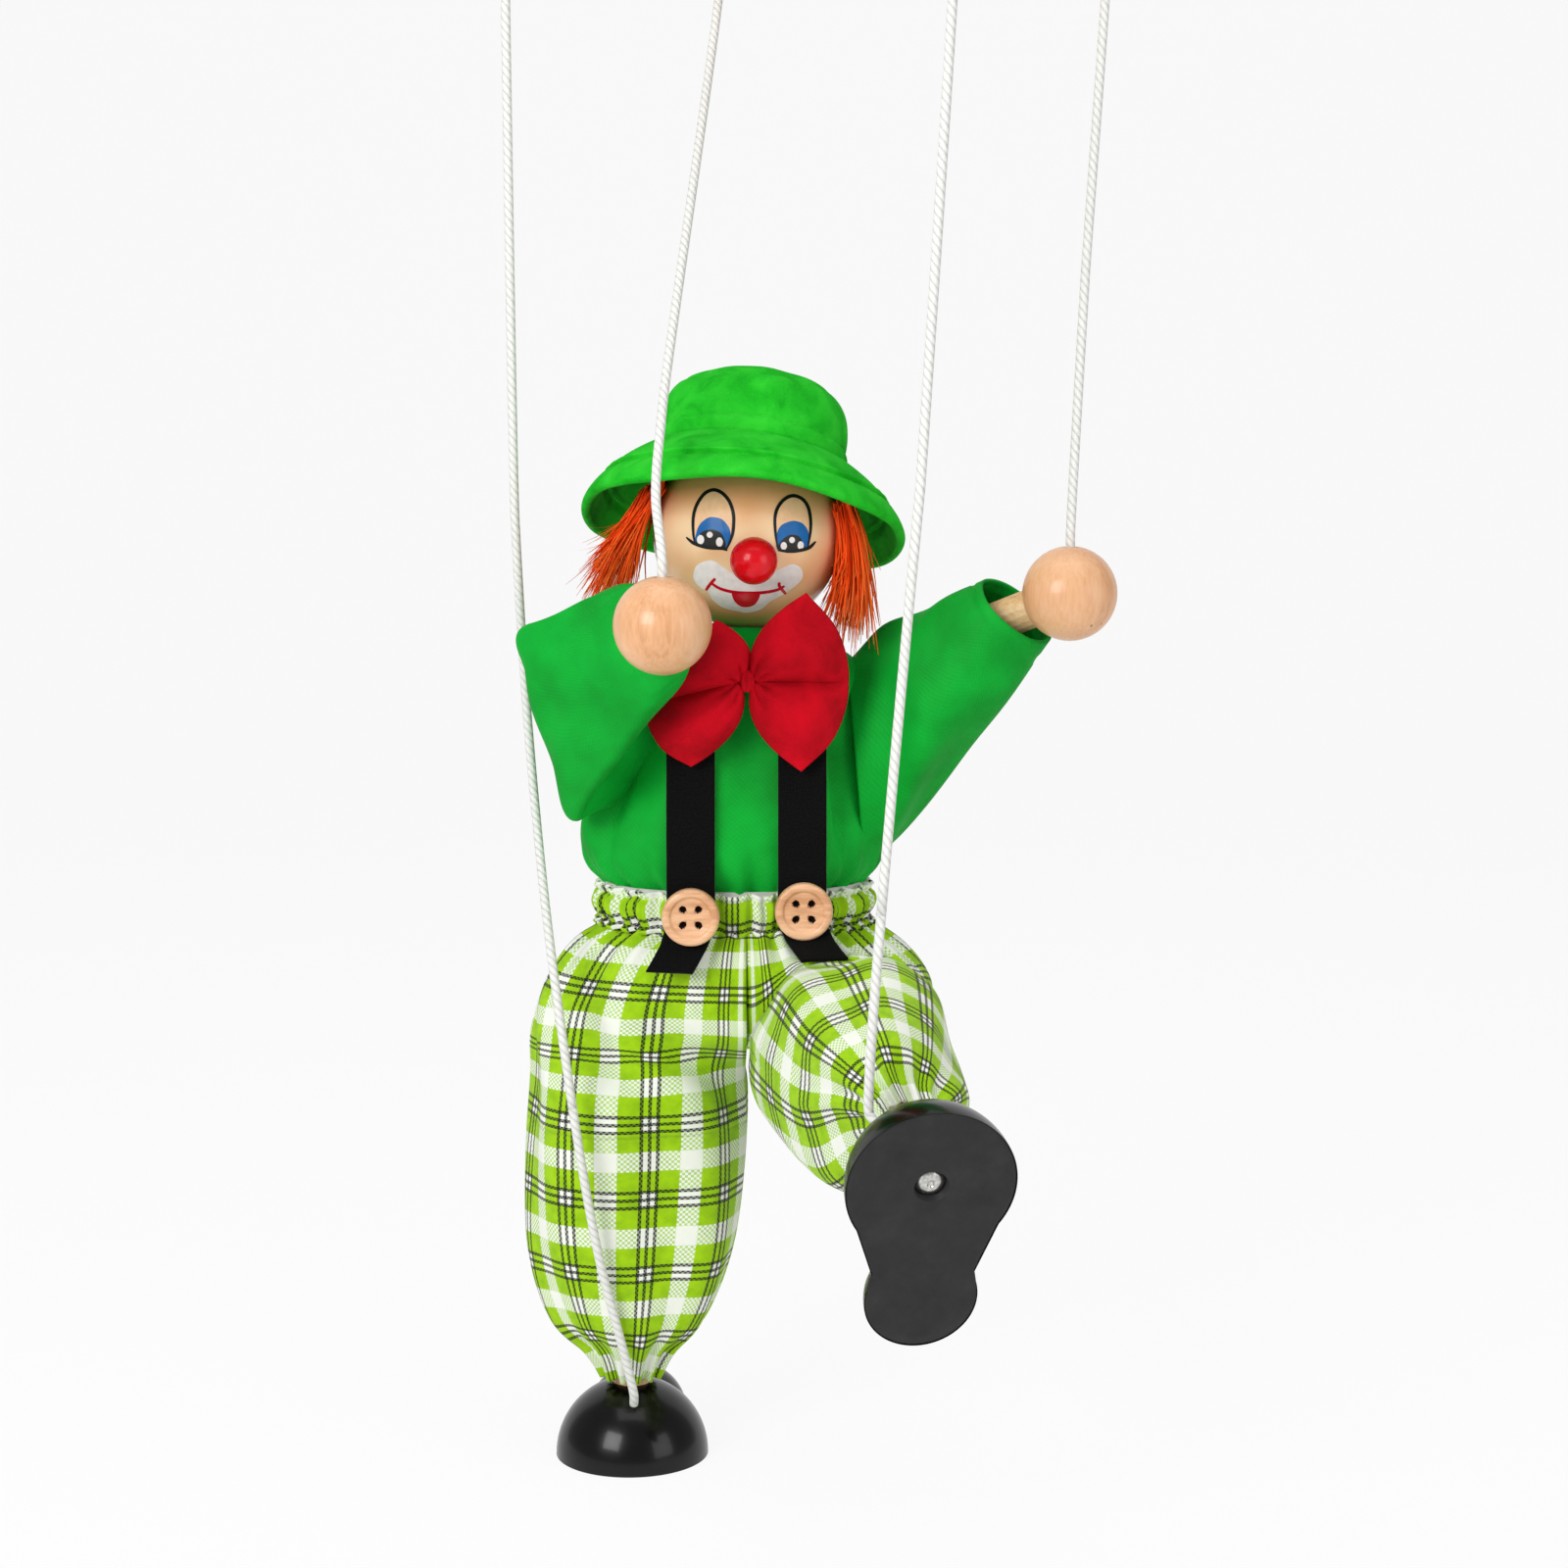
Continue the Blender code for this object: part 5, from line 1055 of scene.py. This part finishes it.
# Half loop of a seat: y by cosine between front and back depth, x by sine, height eased from the seam to the front,
# side and back heights.
def seatLoop(row, sign, turn):
    seam, front, side, back, wide, fore, aft, bulge = row
    angle = turn * math.pi
    z = seam + (front - seam) * ease(angle, 0.0, math.radians(20.0))
    z = np.where(angle > math.pi / 4, front + (side - front) * (4.0 * angle / math.pi - 1.0), z)
    z = np.where(angle > math.pi / 2, side + (back - side) * (2.0 * angle / math.pi - 1.0), z)
    y = -np.where(angle < math.pi / 2, fore, aft) * np.cos(angle)
    y = y - bulge * np.where(angle < math.pi / 2, np.sin(2.0 * angle), 0.0)
    return np.stack([sign * (trousers["seam"] + wide * np.sin(angle)), y, z], axis=-1)


def addTrousers():                       # seat and leg loops lofted as one cloth, gathered, then parted over the knee
    turn = np.linspace(0.0, 1.0, 193)
    for side, sign in (("left", -1.0), ("right", 1.0)):
        # each loop carries its place round the cloth, set in the seat so that a yarn runs straight down into the leg
        inner, wide, _ = trousers["legs"][side][0]
        inner = abs(inner[0])
        half = np.arccos(np.clip((inner - (inner + wide) * np.sin(math.pi * turn)) / wide, -1.0, 1.0)) / tau
        yarn = np.where(turn < 0.5, half, 1.0 - half)[:, None]
        loops = [np.concatenate([seatLoop(row, sign, turn), yarn], axis=1) for row in trousers["seats"][side]]
        for centre, wide, down in trousers["legs"][side]:
            angle = (turn * tau)[:, None]
            across = np.array((-sign * wide, 0.0, 0.0))
            loop = np.array(centre) + across * np.cos(angle) - np.array(down) * np.sin(angle)
            loops.append(np.concatenate([loop, turn[:, None]], axis=1))
        points = through(loops, 18)
        points, yarn = points[..., :3], points[..., 3]
        row = np.linspace(0.0, 1.0, len(points))[:, None]
        waist, cuff = 1.0 - ease(row, *trousers["waistTo"]), ease(row, *trousers["cuffFrom"])
        gathers = (trousers["waistGather"] * waist * np.cos(44.0 * math.pi * turn + 1.6 * np.sin(9.0 * turn))
                   + trousers["cuffGather"] * cuff * np.cos(26.0 * math.pi * turn + 1.5 * np.sin(7.0 * turn)))
        folds = np.sin(math.pi * row).clip(0.0) ** 0.7 * waves(np.sin, trousers["folds"], tau * turn, row)
        # both edges of the cloth meet unmoved
        edge = np.minimum(1.0, np.minimum(turn, 1.0 - turn) / trousers["edge"])
        points = points + outward(points, False) * ((gathers + folds) * edge)[..., None]
        points[..., 0] = sign * np.maximum(sign * points[..., 0], trousers["seam"])
        uv = clothMap(yarn * trousers["around"] + trousers["phase"], points)
        axis, place = trousers["cut"][side]
        cut = int(np.argmin(np.abs(points.mean(1)[:, axis] - place)))
        upper, lower = (surface(name + side, points[part], looks["plaid"], False, uv[part], trousers["wall"])
                        for name, part in (("trouser_seat_", slice(cut + 1)), ("trouser_leg_", slice(cut, None))))
        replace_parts(upper, "trouser_" + side)
        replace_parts(lower, "trouser_" + side)
        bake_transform(upper)
        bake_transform(lower)
    print("trousers sewn")


addTrousers()


# Waistband: a casing round the elastic, with close uneven gathers that grow a little to both edges. The profile is
# height and the share of the half widths.
band = dict(centre=-3, wide=27.9, deep=19.2, gathers=58, around=264, middle=118.6, halfTall=4.4, wall=0.6,
            swell=24, flare=0.2, ripple=0.35,
            profile=((114.2, 1.04), (114.9, 1.06), (115.9, 1.02), (117.2, 1.05), (118.9, 1.075), (120.6, 1.06),
                     (121.6, 1.02), (122.4, 1.05), (123, 1.04)))


def addWaistband():                      # ovals of the profile, swollen by a cosine whose count drifts round the waist
    rows = through(band["profile"], 5)
    z, share = rows[:, :1], rows[:, 1:]
    turn = circle(480)
    uneven = band["gathers"] * turn + 1.4 * np.sin(5.0 * turn) + 0.9 * np.sin(11.0 * turn + 1.0)
    gather = 0.5 * np.cos(uneven) + 0.22 * np.cos(uneven * 0.5 + 0.8)
    edge = 1.0 + band["flare"] * np.abs(z - band["middle"]) / band["halfTall"]
    grow = share + gather * edge / band["swell"]
    points = grid(band["centre"] + band["wide"] * grow * np.cos(turn), band["deep"] * grow * np.sin(turn),
                  z + band["ripple"] * np.sin(uneven * 0.5 + 0.3))
    uv = grid(np.arange(481) / 480 * band["around"], -z)
    made = surface("waistband_casing", points, looks["plaid"], True, uv, band["wall"])
    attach(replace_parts(made, "waistband"), "control")
    print("waistband gathered")


addWaistband()


# The plain turned and drawn pieces keep their solids and only take a finish.
plain = dict(control_stick_across="beechX", control_stick_fore="beechY", control_screw="steel", torso_block="beechZ",
             neck_bead="beechZ", arm_dowel_left="beechY", arm_dowel_right="beechX", thigh_dowel_left="beechZ",
             shank_dowel_left="beechZ", thigh_dowel_right="beechY", shank_dowel_right="beechY", hip_pin="steel",
             knee_pin_left="steel", knee_pin_right="steel", waist_elastic="elastic")


def dressSolids():                       # each solid's finishes cleared, then its own put on
    for name, look in plain.items():
        mesh = cadNodes[name].data
        mesh.materials.clear()
        mesh.materials.append(looks[look])
    print("plain solids finished:", len(plain))


dressSolids()
